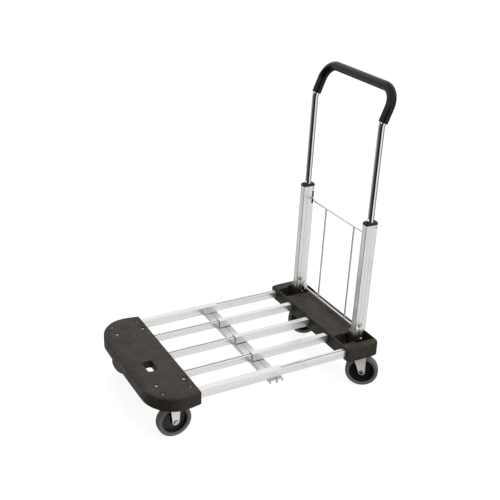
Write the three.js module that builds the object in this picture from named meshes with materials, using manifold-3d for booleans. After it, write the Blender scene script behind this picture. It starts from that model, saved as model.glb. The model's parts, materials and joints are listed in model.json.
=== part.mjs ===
// Folding platform cart with a telescoping deck and a fold-down push handle.
//
// Frame: millimetres, +Z up, ground at z = 0. X is the width, -Y the front housing,
// +Y the handle end. The origin is the bottom centre of the whole cart, standing with
// its deck drawn out, its handle upright and fully extended.
//
// The deck is two combs of aluminium tubes that slide in each other: the front comb
// carries the two outer sleeves, the rear comb the three middle ones. Two masts pivot in
// steel brackets on the rear housing, and the chrome handle slides in them.

import * as THREE from 'three';
import { mergeVertices } from 'three/addons/utils/BufferGeometryUtils.js';
import Module from 'manifold-3d';

// ---- driving dimensions -------------------------------------------------------------

const GAP = 0.3; // between neighbouring pieces

// deck housings
const FRONT = {
  edge: -236, nose: -374.4, halfEdge: 227, halfWide: 234.4, widestY: -288, top: 158, bottom: 116.2,
};
const REAR = { edge: 236.3, back: 349.5, halfEdge: 224, halfWide: 228.2, corner: 28, top: 160, bottom: 118 };
const WALL = 5; // housing sides
const SKIN = 4; // housing top
const HAND_SLOT = { x: [25.5, 78.5], y: [-326.4, -297.8], collar: 4, deep: 24 };
const REAR_SHELF = { y: 331, z: 155, half: 138 };
const BAY = { x: [140, 200], y: [279.5, 345.5], floor: 126 };
const POCKET = { x: [137, 192], y: [240.8, 276], wall: 3 };
const SILL_TOP = 134; // of the low wall between a pocket and the bay behind it

// telescoping deck
const RAIL_TOP = 152;
const OUTER_X = 204.9;
const MIDDLE_X = 106.4;
const OUTER_SLEEVE = { width: 22.3, height: 25, wall: 1.6, y: [-242.8, 19.8] };
const MIDDLE_SLEEVE = { width: 17.4, height: 24, wall: 1.6, y: [-21.5, 262] };
const SLIDE_GAP = 0.3;
const REAR_RAIL_Y = [-45, 262];
const FRONT_RAIL_Y = [-262, 60];
const GROOVE = { width: 3.6, depth: 1.1 };
const CROSSBAR = { half: 225, top: 126.7, height: 12, wall: 1.8, rear: [-21.2, 0.3], front: [0.7, 19.7] };

// casters
const CASTER_X = 170.5;
const FRONT_CASTER_Y = -293;
const REAR_CASTER_Y = 297;
const WHEEL_R = 50;
const TYRE_WIDTH = 25;
const TYRE_BORE = 38.4;
const HUB_R = 38;
const HUB_WIDTH = 28;
const AXLE_R = 4;
const LEG_INNER = 14.5;
const SHEET = 2.5;
const LEG_END_R = 9.8;
const TRAIL = 28.5;
const SWIVEL_REST = -0.65;
const PLATE = { short: 60, long: 100, bottom: 118.5, top: 121 };
const SCREW_PITCH = { x: 43, y: 80.6 };
const RECESS = { r: 5.8, depth: 4.8 };
const SCREW = { holeR: 3.6, pillarR: 9, shankR: 3, headR: 5.2, nutR: 5 };

// masts, handle and release frame; u runs rearwards and v up the leaning mast,
// both from the fold pivot
const MAST_X = 167.7;
const PIVOT = { y: 301.5, z: 205 };
const LEAN = 0.024;
const MAST = { u: 6.1, wide: 21.8, deep: 38.3, wall: 1.3, v: [-25, 316.7] };
const CAP = { overhang: 2.4, height: 8, chamfer: 6, keyWide: 9.4, keyDeep: 5 };
const TUBE = {
  r: 9.3, wall: 1.5, foot: 256, bend: 604.6, bendTurn: 0.372, bendR: 40, arm: 100.8, cornerR: 50,
};
const GRIP_R = 13.5;
const BUTTON = { r: 4, proud: 4, flangeR: 4.6 };
const WIRE = { r: 2.8, u: 20.3, topV: 277.6, dip: 7, dipX: [152, 141], bottomV: -35.6, riserX: 75 };
const WIRE_END = { inMast: 166, foot: 156 };
const WIRE_SLOT = { half: 3.2, v: [258.9, 301.4] };
const MAST_RIVET = { holeR: 2.2, u: 19.3, v: 309.5 };
const CLAW = { x: [150, 152.4], backR: 6, hookR: 6.5 };
const SPRING = { x: 162.3, r: 2.2, wire: 0.45, turns: 6 };
const PIVOT_BOLT = { r: 4, headR: 7.5 };
const BRACKET_BOLT = { r: 3.5, headR: 6, y: 310, z: 155.5 };

// ---- solids -------------------------------------------------------------------------

const wasm = await Module();
wasm.setup();

function toSolid(geometry) {
  const bare = geometry.clone();
  bare.deleteAttribute('normal');
  bare.deleteAttribute('uv');
  const merged = mergeVertices(bare, 1e-4);
  const vertProperties = new Float32Array(merged.attributes.position.array);
  const triVerts = new Uint32Array(merged.index.array);
  return new wasm.Manifold(new wasm.Mesh({ numProp: 3, vertProperties, triVerts }));
}

function toGeometry(solid) {
  const { vertProperties, triVerts } = solid.getMesh();
  const geometry = new THREE.BufferGeometry();
  geometry.setAttribute('position', new THREE.BufferAttribute(vertProperties, 3));
  geometry.setIndex(new THREE.BufferAttribute(triVerts, 1));
  geometry.computeVertexNormals();
  return geometry;
}

/** Joins the first geometry with `add`, then takes every `cut` away from the whole. */
function carve(base, { add = [], cut = [] }) {
  let solid = toSolid(base);
  for (const piece of add) solid = solid.add(toSolid(piece));
  for (const piece of cut) solid = solid.subtract(toSolid(piece));
  return toGeometry(solid);
}

/** A box between two corners, given as ranges. */
function block([x0, x1], [y0, y1], [z0, z1]) {
  const geometry = new THREE.BoxGeometry(x1 - x0, y1 - y0, z1 - z0);
  return geometry.translate((x0 + x1) / 2, (y0 + y1) / 2, (z0 + z1) / 2);
}

/** A range of the given width around a centre. */
function around(centre, width) {
  return [centre - width / 2, centre + width / 2];
}

/** A round bar along 'x', 'y' or 'z', between two stations of that axis. */
function bar(axis, r, [from, to], [a, b], sides = 16) {
  const geometry = new THREE.CylinderGeometry(r, r, to - from, sides);
  const middle = (from + to) / 2;
  if (axis === 'x') return geometry.rotateZ(-Math.PI / 2).translate(middle, a, b);
  if (axis === 'y') return geometry.translate(a, middle, b);
  return geometry.rotateX(Math.PI / 2).translate(a, b, middle);
}

const ALONG_X = new THREE.Matrix4().makeBasis(
  new THREE.Vector3(0, 1, 0),
  new THREE.Vector3(0, 0, 1),
  new THREE.Vector3(1, 0, 0),
);

const ALONG_Y = new THREE.Matrix4().makeBasis(
  new THREE.Vector3(1, 0, 0),
  new THREE.Vector3(0, 0, 1),
  new THREE.Vector3(0, -1, 0),
);

/** Extrudes a shape drawn in (y, z) along X. */
function plateX(shape, [from, to], curveSegments = 8) {
  const options = { depth: to - from, bevelEnabled: false, curveSegments };
  return new THREE.ExtrudeGeometry(shape, options).applyMatrix4(ALONG_X).translate(from, 0, 0);
}

/** Extrudes a shape drawn in (x, z) along Y. */
function barY(shape, [from, to]) {
  const options = { depth: to - from, bevelEnabled: false };
  return new THREE.ExtrudeGeometry(shape, options).applyMatrix4(ALONG_Y).translate(0, to, 0);
}

/** Extrudes a plan shape upwards, with the top and bottom edges rounded if asked. */
function slab(shape, [from, to], round = 0, curveSegments = 5) {
  const options = {
    depth: to - from - 2 * round,
    bevelEnabled: round > 0,
    bevelThickness: round,
    bevelSize: round,
    bevelOffset: -round,
    bevelSegments: 2,
    curveSegments,
  };
  return new THREE.ExtrudeGeometry(shape, options).translate(0, 0, from + round);
}

/** Turns a closed profile of [radius, station] points about the given axis. */
function turned(profile, sides, axis) {
  const points = profile.map(([r, h]) => new THREE.Vector2(r, h));
  const geometry = new THREE.LatheGeometry([...points, points[0].clone()], sides);
  if (axis === 'x') return geometry.rotateZ(-Math.PI / 2);
  return axis === 'z' ? geometry.rotateX(Math.PI / 2) : geometry;
}

function polygon(points) {
  return new THREE.Shape(points.map(([x, y]) => new THREE.Vector2(x, y)));
}

function rectangle(x, y, width, height) {
  const [left, right] = around(x, width);
  const [low, high] = around(y, height);
  return polygon([[left, low], [right, low], [right, high], [left, high]]);
}

function circle(r, sides) {
  const shape = new THREE.Shape();
  const turn = (2 * Math.PI) / sides;
  for (let i = 0; i < sides; i += 1) {
    const x = r * Math.cos(i * turn);
    const y = r * Math.sin(i * turn);
    if (i === 0) shape.moveTo(x, y);
    else shape.lineTo(x, y);
  }
  shape.closePath();
  return shape;
}

/** A path straight from each point to the next, with one section at every point. */
class Route extends THREE.Curve {
  constructor(points) {
    super();
    this.points = points;
  }

  get steps() {
    return this.points.length - 1;
  }

  getPoint(t, target = new THREE.Vector3()) {
    return target.copy(this.points[Math.round(t * this.steps)]);
  }

  getPointAt(u, target) {
    return this.getPoint(u, target);
  }

  getTangentAt(u, target = new THREE.Vector3()) {
    const i = Math.round(u * this.steps);
    target.set(0, 0, 0);
    for (const j of [i - 1, i]) {
      if (j < 0 || j >= this.steps) continue;
      target.add(this.points[j + 1].clone().sub(this.points[j]).normalize());
    }
    return target.normalize();
  }
}

/** Sweeps a section along a list of points. */
function sweep(section, points) {
  const route = new Route(points);
  return new THREE.ExtrudeGeometry(section, { steps: route.steps, extrudePath: route, curveSegments: 1 });
}

/** Replaces the corner between two straight runs by an arc, as a list of points. */
function bendPoints(before, corner, after, r, pieces) {
  const from = before.clone().sub(corner).normalize();
  const to = after.clone().sub(corner).normalize();
  const half = from.angleTo(to) / 2;
  const centre = from.clone().add(to).normalize().multiplyScalar(r / Math.sin(half)).add(corner);
  const start = from.multiplyScalar(r / Math.tan(half)).add(corner).sub(centre);
  const end = to.multiplyScalar(r / Math.tan(half)).add(corner).sub(centre);
  const axis = start.clone().cross(end).normalize();
  const sweepAngle = start.angleTo(end);
  const points = [];
  for (let i = 0; i <= pieces; i += 1) {
    points.push(start.clone().applyAxisAngle(axis, (sweepAngle * i) / pieces).add(centre));
  }
  return points;
}

// ---- finishes -----------------------------------------------------------------------

function finish(color, roughness, metalness) {
  return () => new THREE.MeshStandardMaterial({ color, roughness, metalness });
}

const housingPlastic = finish(0x4a443f, 0.75, 0);
const blackPlastic = finish(0x161616, 0.45, 0);
const millAluminium = finish(0xc9cac8, 0.38, 0.9);
const chrome = finish(0xd6d8da, 0.08, 1);
const zincSteel = finish(0xd2d3d0, 0.28, 1);
const brightWire = finish(0xbfc0be, 0.25, 1);
const greyRubber = finish(0x6b6a6a, 0.8, 0);
const gripFoam = finish(0x141415, 0.6, 0);
const springSteel = finish(0x8d8f92, 0.35, 1);

function mesh(name, geometry, makeMaterial) {
  const piece = new THREE.Mesh(geometry, makeMaterial());
  piece.name = name;
  return piece;
}

const SIDES = [['left', -1], ['right', 1]];

// ---- deck housings ------------------------------------------------------------------

/** The D-shaped plan of the front housing, drawn in by `inset` on every side. */
function frontPlan(inset) {
  const edge = FRONT.edge - inset;
  const nose = FRONT.nose + inset;
  const half = FRONT.halfEdge - inset;
  const wide = FRONT.halfWide - inset;
  const y = FRONT.widestY;
  const cornerX = 148;
  const bow = 1.4;
  const shape = new THREE.Shape();
  shape.moveTo(-half, edge);
  shape.quadraticCurveTo(-(wide - 1), (edge + y) / 2, -wide, y);
  shape.bezierCurveTo(-wide, y - 46, -(cornerX + 44), nose + 6, -cornerX, nose + bow);
  shape.quadraticCurveTo(0, nose - bow, cornerX, nose + bow);
  shape.bezierCurveTo(cornerX + 44, nose + 6, wide, y - 46, wide, y);
  shape.quadraticCurveTo(wide - 1, (edge + y) / 2, half, edge);
  shape.closePath();
  return shape;
}

/** Opening in a housing wall that a deck tube passes through. */
function socket(x, section, y) {
  const width = section.width + 2 * GAP;
  const height = section.height + 2 * GAP;
  const middle = RAIL_TOP - section.drop - section.height / 2;
  return block(around(x, width), y, around(middle, height));
}

function frontScrewPlaces() {
  const places = [];
  for (const [side, sign] of SIDES) {
    for (const [row, dy] of [['front', -1], ['rear', 1]]) {
      for (const [line, dx] of [['inner', -1], ['outer', 1]]) {
        const x = sign * (CASTER_X + (dx * SCREW_PITCH.x) / 2);
        const y = FRONT_CASTER_Y + (dy * SCREW_PITCH.y) / 2;
        places.push({ name: `${row}_${line}_screw_${side}`, x, y });
      }
    }
  }
  return places;
}

function frontHousing() {
  const round = 7;
  const ceiling = FRONT.top - SKIN;
  const body = slab(frontPlan(0), [FRONT.bottom - round, FRONT.top], round);
  const belowSkirt = block([-300, 300], [-400, -200], [FRONT.bottom - 2 * round, FRONT.bottom]);
  const hollow = slab(frontPlan(WALL), [FRONT.bottom - round, ceiling]);
  const slotBlock = block(
    [HAND_SLOT.x[0] - HAND_SLOT.collar, HAND_SLOT.x[1] + HAND_SLOT.collar],
    [HAND_SLOT.y[0] - HAND_SLOT.collar, HAND_SLOT.y[1] + HAND_SLOT.collar],
    [FRONT.top - HAND_SLOT.deep, ceiling + 1],
  );
  const pillarZ = [PLATE.top + GAP, ceiling + 1];
  const pillars = frontScrewPlaces().map(({ x, y }) => bar('z', SCREW.pillarR, pillarZ, [x, y], 8));
  const shell = carve(body, { cut: [belowSkirt, hollow] });
  const seats = frontScrewPlaces().flatMap(({ x, y }) => [
    bar('z', SCREW.holeR, [FRONT.bottom, FRONT.top + 1], [x, y], 8),
    bar('z', RECESS.r, [FRONT.top - RECESS.depth, FRONT.top + 1], [x, y], 12),
  ]);
  const wall = [FRONT.edge - WALL - 1, FRONT.edge + 1];
  const sockets = [-OUTER_X, OUTER_X].map((x) => socket(x, outerSleeve, wall));
  sockets.push(...[-MIDDLE_X, 0, MIDDLE_X].map((x) => socket(x, middleRail, wall)));
  const handSlot = block(HAND_SLOT.x, HAND_SLOT.y, [FRONT.bottom - 1, FRONT.top + 1]);
  return carve(shell, { add: [slotBlock, ...pillars], cut: [...seats, ...sockets, handSlot] });
}

function rearPlan() {
  const { edge, back, halfEdge, halfWide, corner } = REAR;
  const shape = new THREE.Shape();
  const bulgeY = edge + 45;
  shape.moveTo(-halfEdge, edge);
  shape.lineTo(halfEdge, edge);
  shape.quadraticCurveTo(halfWide, edge + 15, halfWide, bulgeY);
  shape.lineTo(halfWide, back - corner);
  shape.quadraticCurveTo(halfWide, back, halfWide - corner, back);
  shape.lineTo(-(halfWide - corner), back);
  shape.quadraticCurveTo(-halfWide, back, -halfWide, back - corner);
  shape.lineTo(-halfWide, bulgeY);
  shape.quadraticCurveTo(-halfWide, edge + 15, -halfEdge, edge);
  return shape;
}

/** The same opening on both sides of the cart. */
function bothSides([x0, x1], y, z) {
  return [block([x0, x1], y, z), block([-x1, -x0], y, z)];
}

function rearHousing() {
  const round = 4;
  const low = REAR.bottom - 1;
  const ceiling = REAR.top - WALL;
  const body = slab(rearPlan(), [REAR.bottom - round, REAR.top], round);
  const belowSkirt = block([-300, 300], [200, 400], [REAR.bottom - 2 * round, REAR.bottom]);
  const insideY = [REAR.edge + WALL, REAR.back - WALL];
  const hollowX = [-(POCKET.x[0] - WALL), POCKET.x[0] - WALL];
  const hollows = [
    block(hollowX, [insideY[0], REAR_SHELF.y - WALL], [low, ceiling]),
    block(hollowX, insideY, [low, REAR_SHELF.z - WALL]),
  ];
  const shelfX = [-REAR_SHELF.half, REAR_SHELF.half];
  const shelf = block(shelfX, [REAR_SHELF.y, REAR.back + 1], [REAR_SHELF.z, REAR.top + 1]);
  const bays = bothSides(BAY.x, BAY.y, [BAY.floor, REAR.top + 1]);
  const pockets = bothSides(POCKET.x, POCKET.y, [low, REAR.top + 1]);
  const sideX = REAR.halfWide - SKIN - 1;
  const sideHollows = [
    ...bothSides([BAY.x[1] + SKIN, sideX], [insideY[0], REAR.back - REAR.corner], [low, ceiling]),
    ...bothSides([POCKET.x[1] + POCKET.wall, sideX], [insideY[0], BAY.y[0] - 2 * WALL], [low, ceiling]),
  ];
  const plateRoomY = around(REAR_CASTER_Y, PLATE.short + 8);
  const plateRoom = bothSides(around(CASTER_X, PLATE.long + 4), plateRoomY, [low, PLATE.top + GAP]);
  const wall = [REAR.edge - 1, REAR.edge + WALL + 1];
  const sockets = [-OUTER_X, OUTER_X].map((x) => socket(x, outerRail, wall));
  sockets.push(...[-MIDDLE_X, 0, MIDDLE_X].map((x) => socket(x, middleSleeve, wall)));
  const sillX = [BAY.x[0], POCKET.x[1]];
  const gates = bothSides(sillX, [POCKET.y[1] - 1, BAY.y[0] + 1], [SILL_TOP, REAR.top + 1]);
  const voids = [...hollows, ...sideHollows, ...plateRoom, ...gates];
  return carve(body, { cut: [belowSkirt, shelf, ...voids, ...bays, ...pockets, ...sockets] });
}

// ---- telescoping deck ---------------------------------------------------------------

/** A deck tube's section: outer size, wall, and how far its top is below the sleeve's. */
function tubeSection(width, height, wall, drop) {
  return { width, height, wall, drop };
}

/** The section that slides inside a sleeve. */
function railInside({ width, height, wall }) {
  const shrink = 2 * (wall + SLIDE_GAP);
  return tubeSection(width - shrink, height - shrink, wall, wall + SLIDE_GAP);
}

const outerSleeve = tubeSection(OUTER_SLEEVE.width, OUTER_SLEEVE.height, OUTER_SLEEVE.wall, 0);
const middleSleeve = tubeSection(MIDDLE_SLEEVE.width, MIDDLE_SLEEVE.height, MIDDLE_SLEEVE.wall, 0);
const outerRail = railInside(outerSleeve);
const middleRail = railInside(middleSleeve);

/** A rectangular aluminium tube along the deck, with a groove along its top if asked. */
function deckTube({ width, height, wall, drop }, y, grooved) {
  const top = RAIL_TOP - drop;
  const middle = top - height / 2;
  const section = rectangle(0, middle, width, height);
  section.holes.push(rectangle(0, middle, width - 2 * wall, height - 2 * wall));
  const tube = barY(section, y);
  if (!grooved) return tube;
  const groove = block(around(0, GROOVE.width), [y[0] - 1, y[1] + 1], [top - GROOVE.depth, top + 1]);
  return carve(tube, { cut: [groove] });
}

/** An aluminium channel across the deck, open below, that ties one comb together. */
function crossbar([y0, y1]) {
  const { half, top, height, wall } = CROSSBAR;
  const low = top - height;
  const section = polygon([
    [y0, low],
    [y0 + wall, low],
    [y0 + wall, top - wall],
    [y1 - wall, top - wall],
    [y1 - wall, low],
    [y1, low],
    [y1, top],
    [y0, top],
  ]);
  return plateX(section, [-half, half]);
}

// ---- casters ------------------------------------------------------------------------

function tyre() {
  const half = TYRE_WIDTH / 2;
  const shoulder = 4;
  const profile = [
    [TYRE_BORE, -half + 1.5],
    [WHEEL_R - shoulder, -half],
    [WHEEL_R - 1, -half + shoulder],
    [WHEEL_R, 0],
    [WHEEL_R - 1, half - shoulder],
    [WHEEL_R - shoulder, half],
    [TYRE_BORE, half - 1.5],
  ];
  return turned(profile, 28, 'x');
}

/** A dished hub: a full-width boss, a thin web and a rim that carries the tyre. */
function hub() {
  const half = HUB_WIDTH / 2;
  const rim = TYRE_WIDTH / 2 - 1.5;
  const web = 3;
  const boss = 11;
  const rimR = HUB_R - 4;
  const profile = [
    [AXLE_R + 2 * GAP, -half],
    [boss, -half],
    [boss, -web],
    [rimR, -web],
    [rimR, -rim],
    [HUB_R, -rim],
    [HUB_R, rim],
    [rimR, rim],
    [rimR, web],
    [boss, web],
    [boss, half],
    [AXLE_R + 2 * GAP, half],
  ];
  return turned(profile, 16, 'x');
}

/** The axle bolt with its head and nut outside the fork legs. */
function axle() {
  const seat = LEG_INNER + SHEET + GAP;
  const end = seat + 4.5;
  const nutR = 7;
  const profile = [
    [0, -end],
    [nutR, -end],
    [nutR, -seat],
    [AXLE_R, -seat],
    [AXLE_R, seat],
    [nutR, seat],
    [nutR, end],
    [0, end],
  ];
  return turned(profile, 8, 'x');
}

/** Side view of a fork leg: straight edges from the crown to a round end at the axle. */
function legShape(topFrom, topTo, axleY, topZ) {
  const shape = new THREE.Shape();
  const side = 0.18;
  shape.moveTo(topTo, topZ);
  shape.lineTo(topFrom, topZ);
  shape.lineTo(axleY - LEG_END_R * Math.cos(side), WHEEL_R);
  shape.absarc(axleY, WHEEL_R, LEG_END_R, Math.PI + side, 2 * Math.PI, false);
  shape.closePath();
  return shape;
}

function forkLegs(shape) {
  return [1, -1].map((side) => {
    const faces = [side * LEG_INNER, side * (LEG_INNER + SHEET)].sort((a, b) => a - b);
    return plateX(shape, faces, 5);
  });
}

function axleHole(y) {
  const reach = LEG_INNER + SHEET + 1;
  return bar('x', AXLE_R + 2 * GAP, [-reach, reach], [y, WHEEL_R], 8);
}

/** The fixed front caster's bracket: a screwed plate with two tapered legs. */
function fixedFork() {
  const plate = block(around(0, PLATE.short), around(0, PLATE.long), [PLATE.bottom, PLATE.top]);
  const legs = forkLegs(legShape(-17.5, 17.5, 0, PLATE.bottom + 1));
  const holes = [axleHole(0)];
  for (const dx of [-1, 1]) {
    for (const dy of [-1, 1]) {
      const place = [(dx * SCREW_PITCH.x) / 2, (dy * SCREW_PITCH.y) / 2];
      holes.push(bar('z', SCREW.holeR, [PLATE.bottom - 1, PLATE.top + 1], place, 8));
    }
  }
  return carve(plate, { add: legs, cut: holes });
}

const CROWN = { bottom: 110, top: 112.7, front: -21, back: 38, hole: 5.6 };

/** The fixed half of a swivel caster: plate, ball race and kingpin. */
function swivelPlate() {
  const plate = block(around(0, PLATE.long), around(0, PLATE.short), [PLATE.bottom, PLATE.top]);
  const race = CROWN.top + GAP;
  const headTop = CROWN.bottom - GAP;
  const pin = turned([
    [0, headTop - 4],
    [9, headTop - 4],
    [9, headTop],
    [CROWN.hole - GAP, headTop],
    [CROWN.hole - GAP, race],
    [21, race],
    [23, PLATE.bottom + 0.5],
    [0, PLATE.bottom + 0.5],
  ], 20, 'z');
  return carve(plate, { add: [pin] });
}

/** The swivelling fork: a crown below the race and two trailing legs. */
function swivelFork() {
  const reach = LEG_INNER + SHEET;
  const crown = block([-reach, reach], [CROWN.front, CROWN.back], [CROWN.bottom, CROWN.top]);
  const dish = bar('z', 24, [CROWN.bottom, CROWN.top], [0, 0], 20);
  const legs = forkLegs(legShape(-5, CROWN.back, TRAIL, CROWN.bottom + 1));
  const kingpinHole = bar('z', CROWN.hole, [CROWN.bottom - 1, CROWN.top + 1], [0, 0], 16);
  return carve(crown, { add: [dish, ...legs], cut: [axleHole(TRAIL), kingpinHole] });
}

/** A wheel on its axle, standing on the ground at the given distance behind its fork. */
function wheelSet(name, y) {
  const set = new THREE.Group();
  set.position.set(0, y, WHEEL_R);
  set.add(mesh(`${name.end}_tyre_${name.side}`, tyre(), greyRubber));
  set.add(mesh(`${name.end}_hub_${name.side}`, hub(), blackPlastic));
  set.add(mesh(`${name.end}_axle_${name.side}`, axle(), zincSteel));
  return set;
}

function frontCaster([side, sign]) {
  const caster = new THREE.Group();
  caster.position.set(sign * CASTER_X, FRONT_CASTER_Y, 0);
  caster.add(mesh(`front_fork_${side}`, fixedFork(), zincSteel));
  caster.add(wheelSet({ end: 'front', side }, 0));
  return caster;
}

function rearCaster([side, sign]) {
  const caster = new THREE.Group();
  caster.position.set(sign * CASTER_X, REAR_CASTER_Y, 0);
  caster.add(mesh(`rear_caster_plate_${side}`, swivelPlate(), zincSteel));
  const swivel = new THREE.Group();
  swivel.rotation.z = SWIVEL_REST;
  swivel.add(mesh(`swivel_fork_${side}`, swivelFork(), zincSteel));
  swivel.add(wheelSet({ end: 'rear', side }, TRAIL));
  caster.add(swivel);
  return caster;
}

/** A caster screw with its nut, seated in the recess of the front housing. */
function casterScrew() {
  const seat = FRONT.top - RECESS.depth + GAP;
  const nutTop = PLATE.bottom - GAP;
  const profile = [
    [0, nutTop - 5],
    [SCREW.nutR, nutTop - 5],
    [SCREW.nutR, nutTop],
    [SCREW.shankR, nutTop],
    [SCREW.shankR, seat],
    [SCREW.headR, seat],
    [SCREW.headR, seat + 1.4],
    [SCREW.headR - 2, seat + 2.6],
    [0, seat + 3],
  ];
  return turned(profile, 8, 'z');
}

// ---- mast brackets ------------------------------------------------------------------

const CHEEK = { inner: MAST.wide / 2 + 0.6, sheet: 2, y: [289, 315], shoulderZ: 178, arch: 11 };
const BRACKET_BASE = { half: 24, y: [283, 334], sheet: 2.5 };
const BRACKET_WEB = { y: [283.2, 285.2], top: 188, returnY: [284, 290], returnTop: 176 };
const CHEEK_SLOT = { width: 4, z: [166, 190] };

/** Folded steel bracket that stands in a bay and holds the foot of one mast. */
function mastBracket() {
  const foot = BAY.floor + GAP;
  const outer = CHEEK.inner + CHEEK.sheet;
  const side = new THREE.Shape();
  side.moveTo(CHEEK.y[0], foot);
  side.lineTo(CHEEK.y[1], foot);
  side.lineTo(CHEEK.y[1], CHEEK.shoulderZ);
  side.lineTo(PIVOT.y + CHEEK.arch, PIVOT.z);
  side.absarc(PIVOT.y, PIVOT.z, CHEEK.arch, 0, Math.PI, false);
  side.lineTo(CHEEK.y[0], CHEEK.shoulderZ);
  side.closePath();
  const sheets = [[CHEEK.inner, outer], [-outer, -CHEEK.inner]];
  const cheeks = sheets.map((x) => plateX(side, x, 5));
  const { half } = BRACKET_BASE;
  const base = block([-half, half], BRACKET_BASE.y, [foot, foot + BRACKET_BASE.sheet]);
  const web = block([-outer, outer], BRACKET_WEB.y, [foot, BRACKET_WEB.top]);
  const returns = sheets.map((x) => block(x, BRACKET_WEB.returnY, [foot, BRACKET_WEB.returnTop]));
  const reach = [-outer - 1, outer + 1];
  const holes = [
    bar('x', PIVOT_BOLT.r + 2 * GAP, reach, [PIVOT.y, PIVOT.z], 8),
    bar('x', BRACKET_BOLT.r + 2 * GAP, reach, [BRACKET_BOLT.y, BRACKET_BOLT.z], 8),
    block(reach, around(PIVOT.y, CHEEK_SLOT.width), CHEEK_SLOT.z),
  ];
  return carve(base, { add: [web, ...cheeks, ...returns], cut: holes });
}

/** A bolt across the bracket, with a round head and a nut. */
function crossBolt({ r, headR }, { y, z }) {
  const seat = CHEEK.inner + CHEEK.sheet + GAP;
  const end = seat + 3.6;
  const profile = [
    [0, -end],
    [headR - 1, -end],
    [headR, -seat - 1.5],
    [headR, -seat],
    [r, -seat],
    [r, seat],
    [headR, seat],
    [headR, seat + 1.5],
    [headR - 1, end],
    [0, end],
  ];
  return turned(profile, 8, 'x').translate(0, y, z);
}

// ---- masts --------------------------------------------------------------------------

/** A rectangular mast; `inward` is the X direction of the cart's middle. */
function mastTube(inward) {
  const { u, wide, deep, wall } = MAST;
  const plan = rectangle(0, u, wide, deep);
  plan.holes.push(rectangle(0, u, wide - 2 * wall, deep - 2 * wall));
  const tube = slab(plan, MAST.v);
  const innerWall = [inward * (wide / 2 - wall - 1), inward * (wide / 2 + 1)].sort((a, b) => a - b);
  const reach = [-wide / 2 - 1, wide / 2 + 1];
  return carve(tube, {
    cut: [
      bar('x', PIVOT_BOLT.r + 2 * GAP, reach, [0, 0], 8),
      bar('x', MAST_RIVET.holeR, reach, [MAST_RIVET.u, MAST_RIVET.v], 10),
      block(innerWall, around(WIRE.u, 2 * WIRE_SLOT.half), WIRE_SLOT.v),
    ],
  });
}

/** Chamfered cap that guides the handle tube; its keyway lets the snap button through. */
function mastCap() {
  const halfX = MAST.wide / 2 + CAP.overhang;
  const halfY = MAST.deep / 2 + CAP.overhang;
  const c = CAP.chamfer;
  const v = [MAST.v[1] + GAP, MAST.v[1] + GAP + CAP.height];
  const plan = polygon([
    [-halfX + c, -halfY],
    [halfX - c, -halfY],
    [halfX, -halfY + c],
    [halfX, halfY - c],
    [halfX - c, halfY],
    [-halfX + c, halfY],
    [-halfX, halfY - c],
    [-halfX, -halfY + c],
  ]);
  const cap = slab(plan, v, 1.2).translate(0, MAST.u, 0);
  const through = [v[0] - 1, v[1] + 1];
  const keyway = block(around(0, CAP.keyWide), [MAST.u - TUBE.r - CAP.keyDeep, MAST.u], through);
  return carve(cap, { cut: [bar('z', TUBE.r + GAP, through, [0, MAST.u], 20), keyway] });
}

const BUTTON_V = MAST.v[1] + GAP + CAP.height + 0.6 + BUTTON.r;

/** Points of the handle's centre line: two legs, a rearward bend in each, and the bar. */
function handleRoute(onlyGrip) {
  const point = (x, u, v) => new THREE.Vector3(x, u, v);
  const armTop = {
    u: MAST.u + TUBE.arm * Math.sin(TUBE.bendTurn),
    v: TUBE.bend + TUBE.arm * Math.cos(TUBE.bendTurn),
  };
  const half = [];
  const foot = point(MAST_X, MAST.u, TUBE.foot);
  const bend = point(MAST_X, MAST.u, TUBE.bend);
  const corner = point(MAST_X, armTop.u, armTop.v);
  const middle = point(0, armTop.u, armTop.v);
  const bent = bendPoints(foot, bend, corner, TUBE.bendR, 2);
  if (!onlyGrip) half.push(foot, ...bent);
  else half.push(bent[bent.length - 1]);
  half.push(...bendPoints(bend, corner, middle, TUBE.cornerR, 6));
  const mirrored = half.map((p) => point(-p.x, p.y, p.z)).reverse();
  return [...half, ...mirrored];
}

/** A tube's section, with the bore left open at both ends. */
function ring(outerR, innerR, outerSides, innerSides) {
  const section = circle(outerR, outerSides);
  section.holes.push(circle(innerR, innerSides));
  return section;
}

function handleTube() {
  const tube = sweep(ring(TUBE.r, TUBE.r - TUBE.wall, 14, 8), handleRoute(false));
  const holes = [-MAST_X, MAST_X].map((x) => {
    const y = [MAST.u - TUBE.r - 2, MAST.u - 2];
    return bar('y', BUTTON.r + GAP, y, [x, BUTTON_V], 12);
  });
  return carve(tube, { cut: holes });
}

function handleGrip() {
  return sweep(ring(GRIP_R, TUBE.r + 2 * GAP, 14, 10), handleRoute(true));
}

/** Domed snap button, with a flange inside the tube that stops it falling out. */
function snapButton() {
  const face = MAST.u - TUBE.r - BUTTON.proud;
  const flange = MAST.u - 5.5;
  const profile = [
    [0, face],
    [BUTTON.r - 1.5, face + 0.4],
    [BUTTON.r, face + 1.8],
    [BUTTON.r, flange],
    [BUTTON.flangeR, flange],
    [BUTTON.flangeR, flange + 1.2],
    [0, flange + 1.2],
  ];
  return turned(profile, 10, 'y').translate(0, 0, BUTTON_V);
}

// ---- release frame ------------------------------------------------------------------

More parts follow.
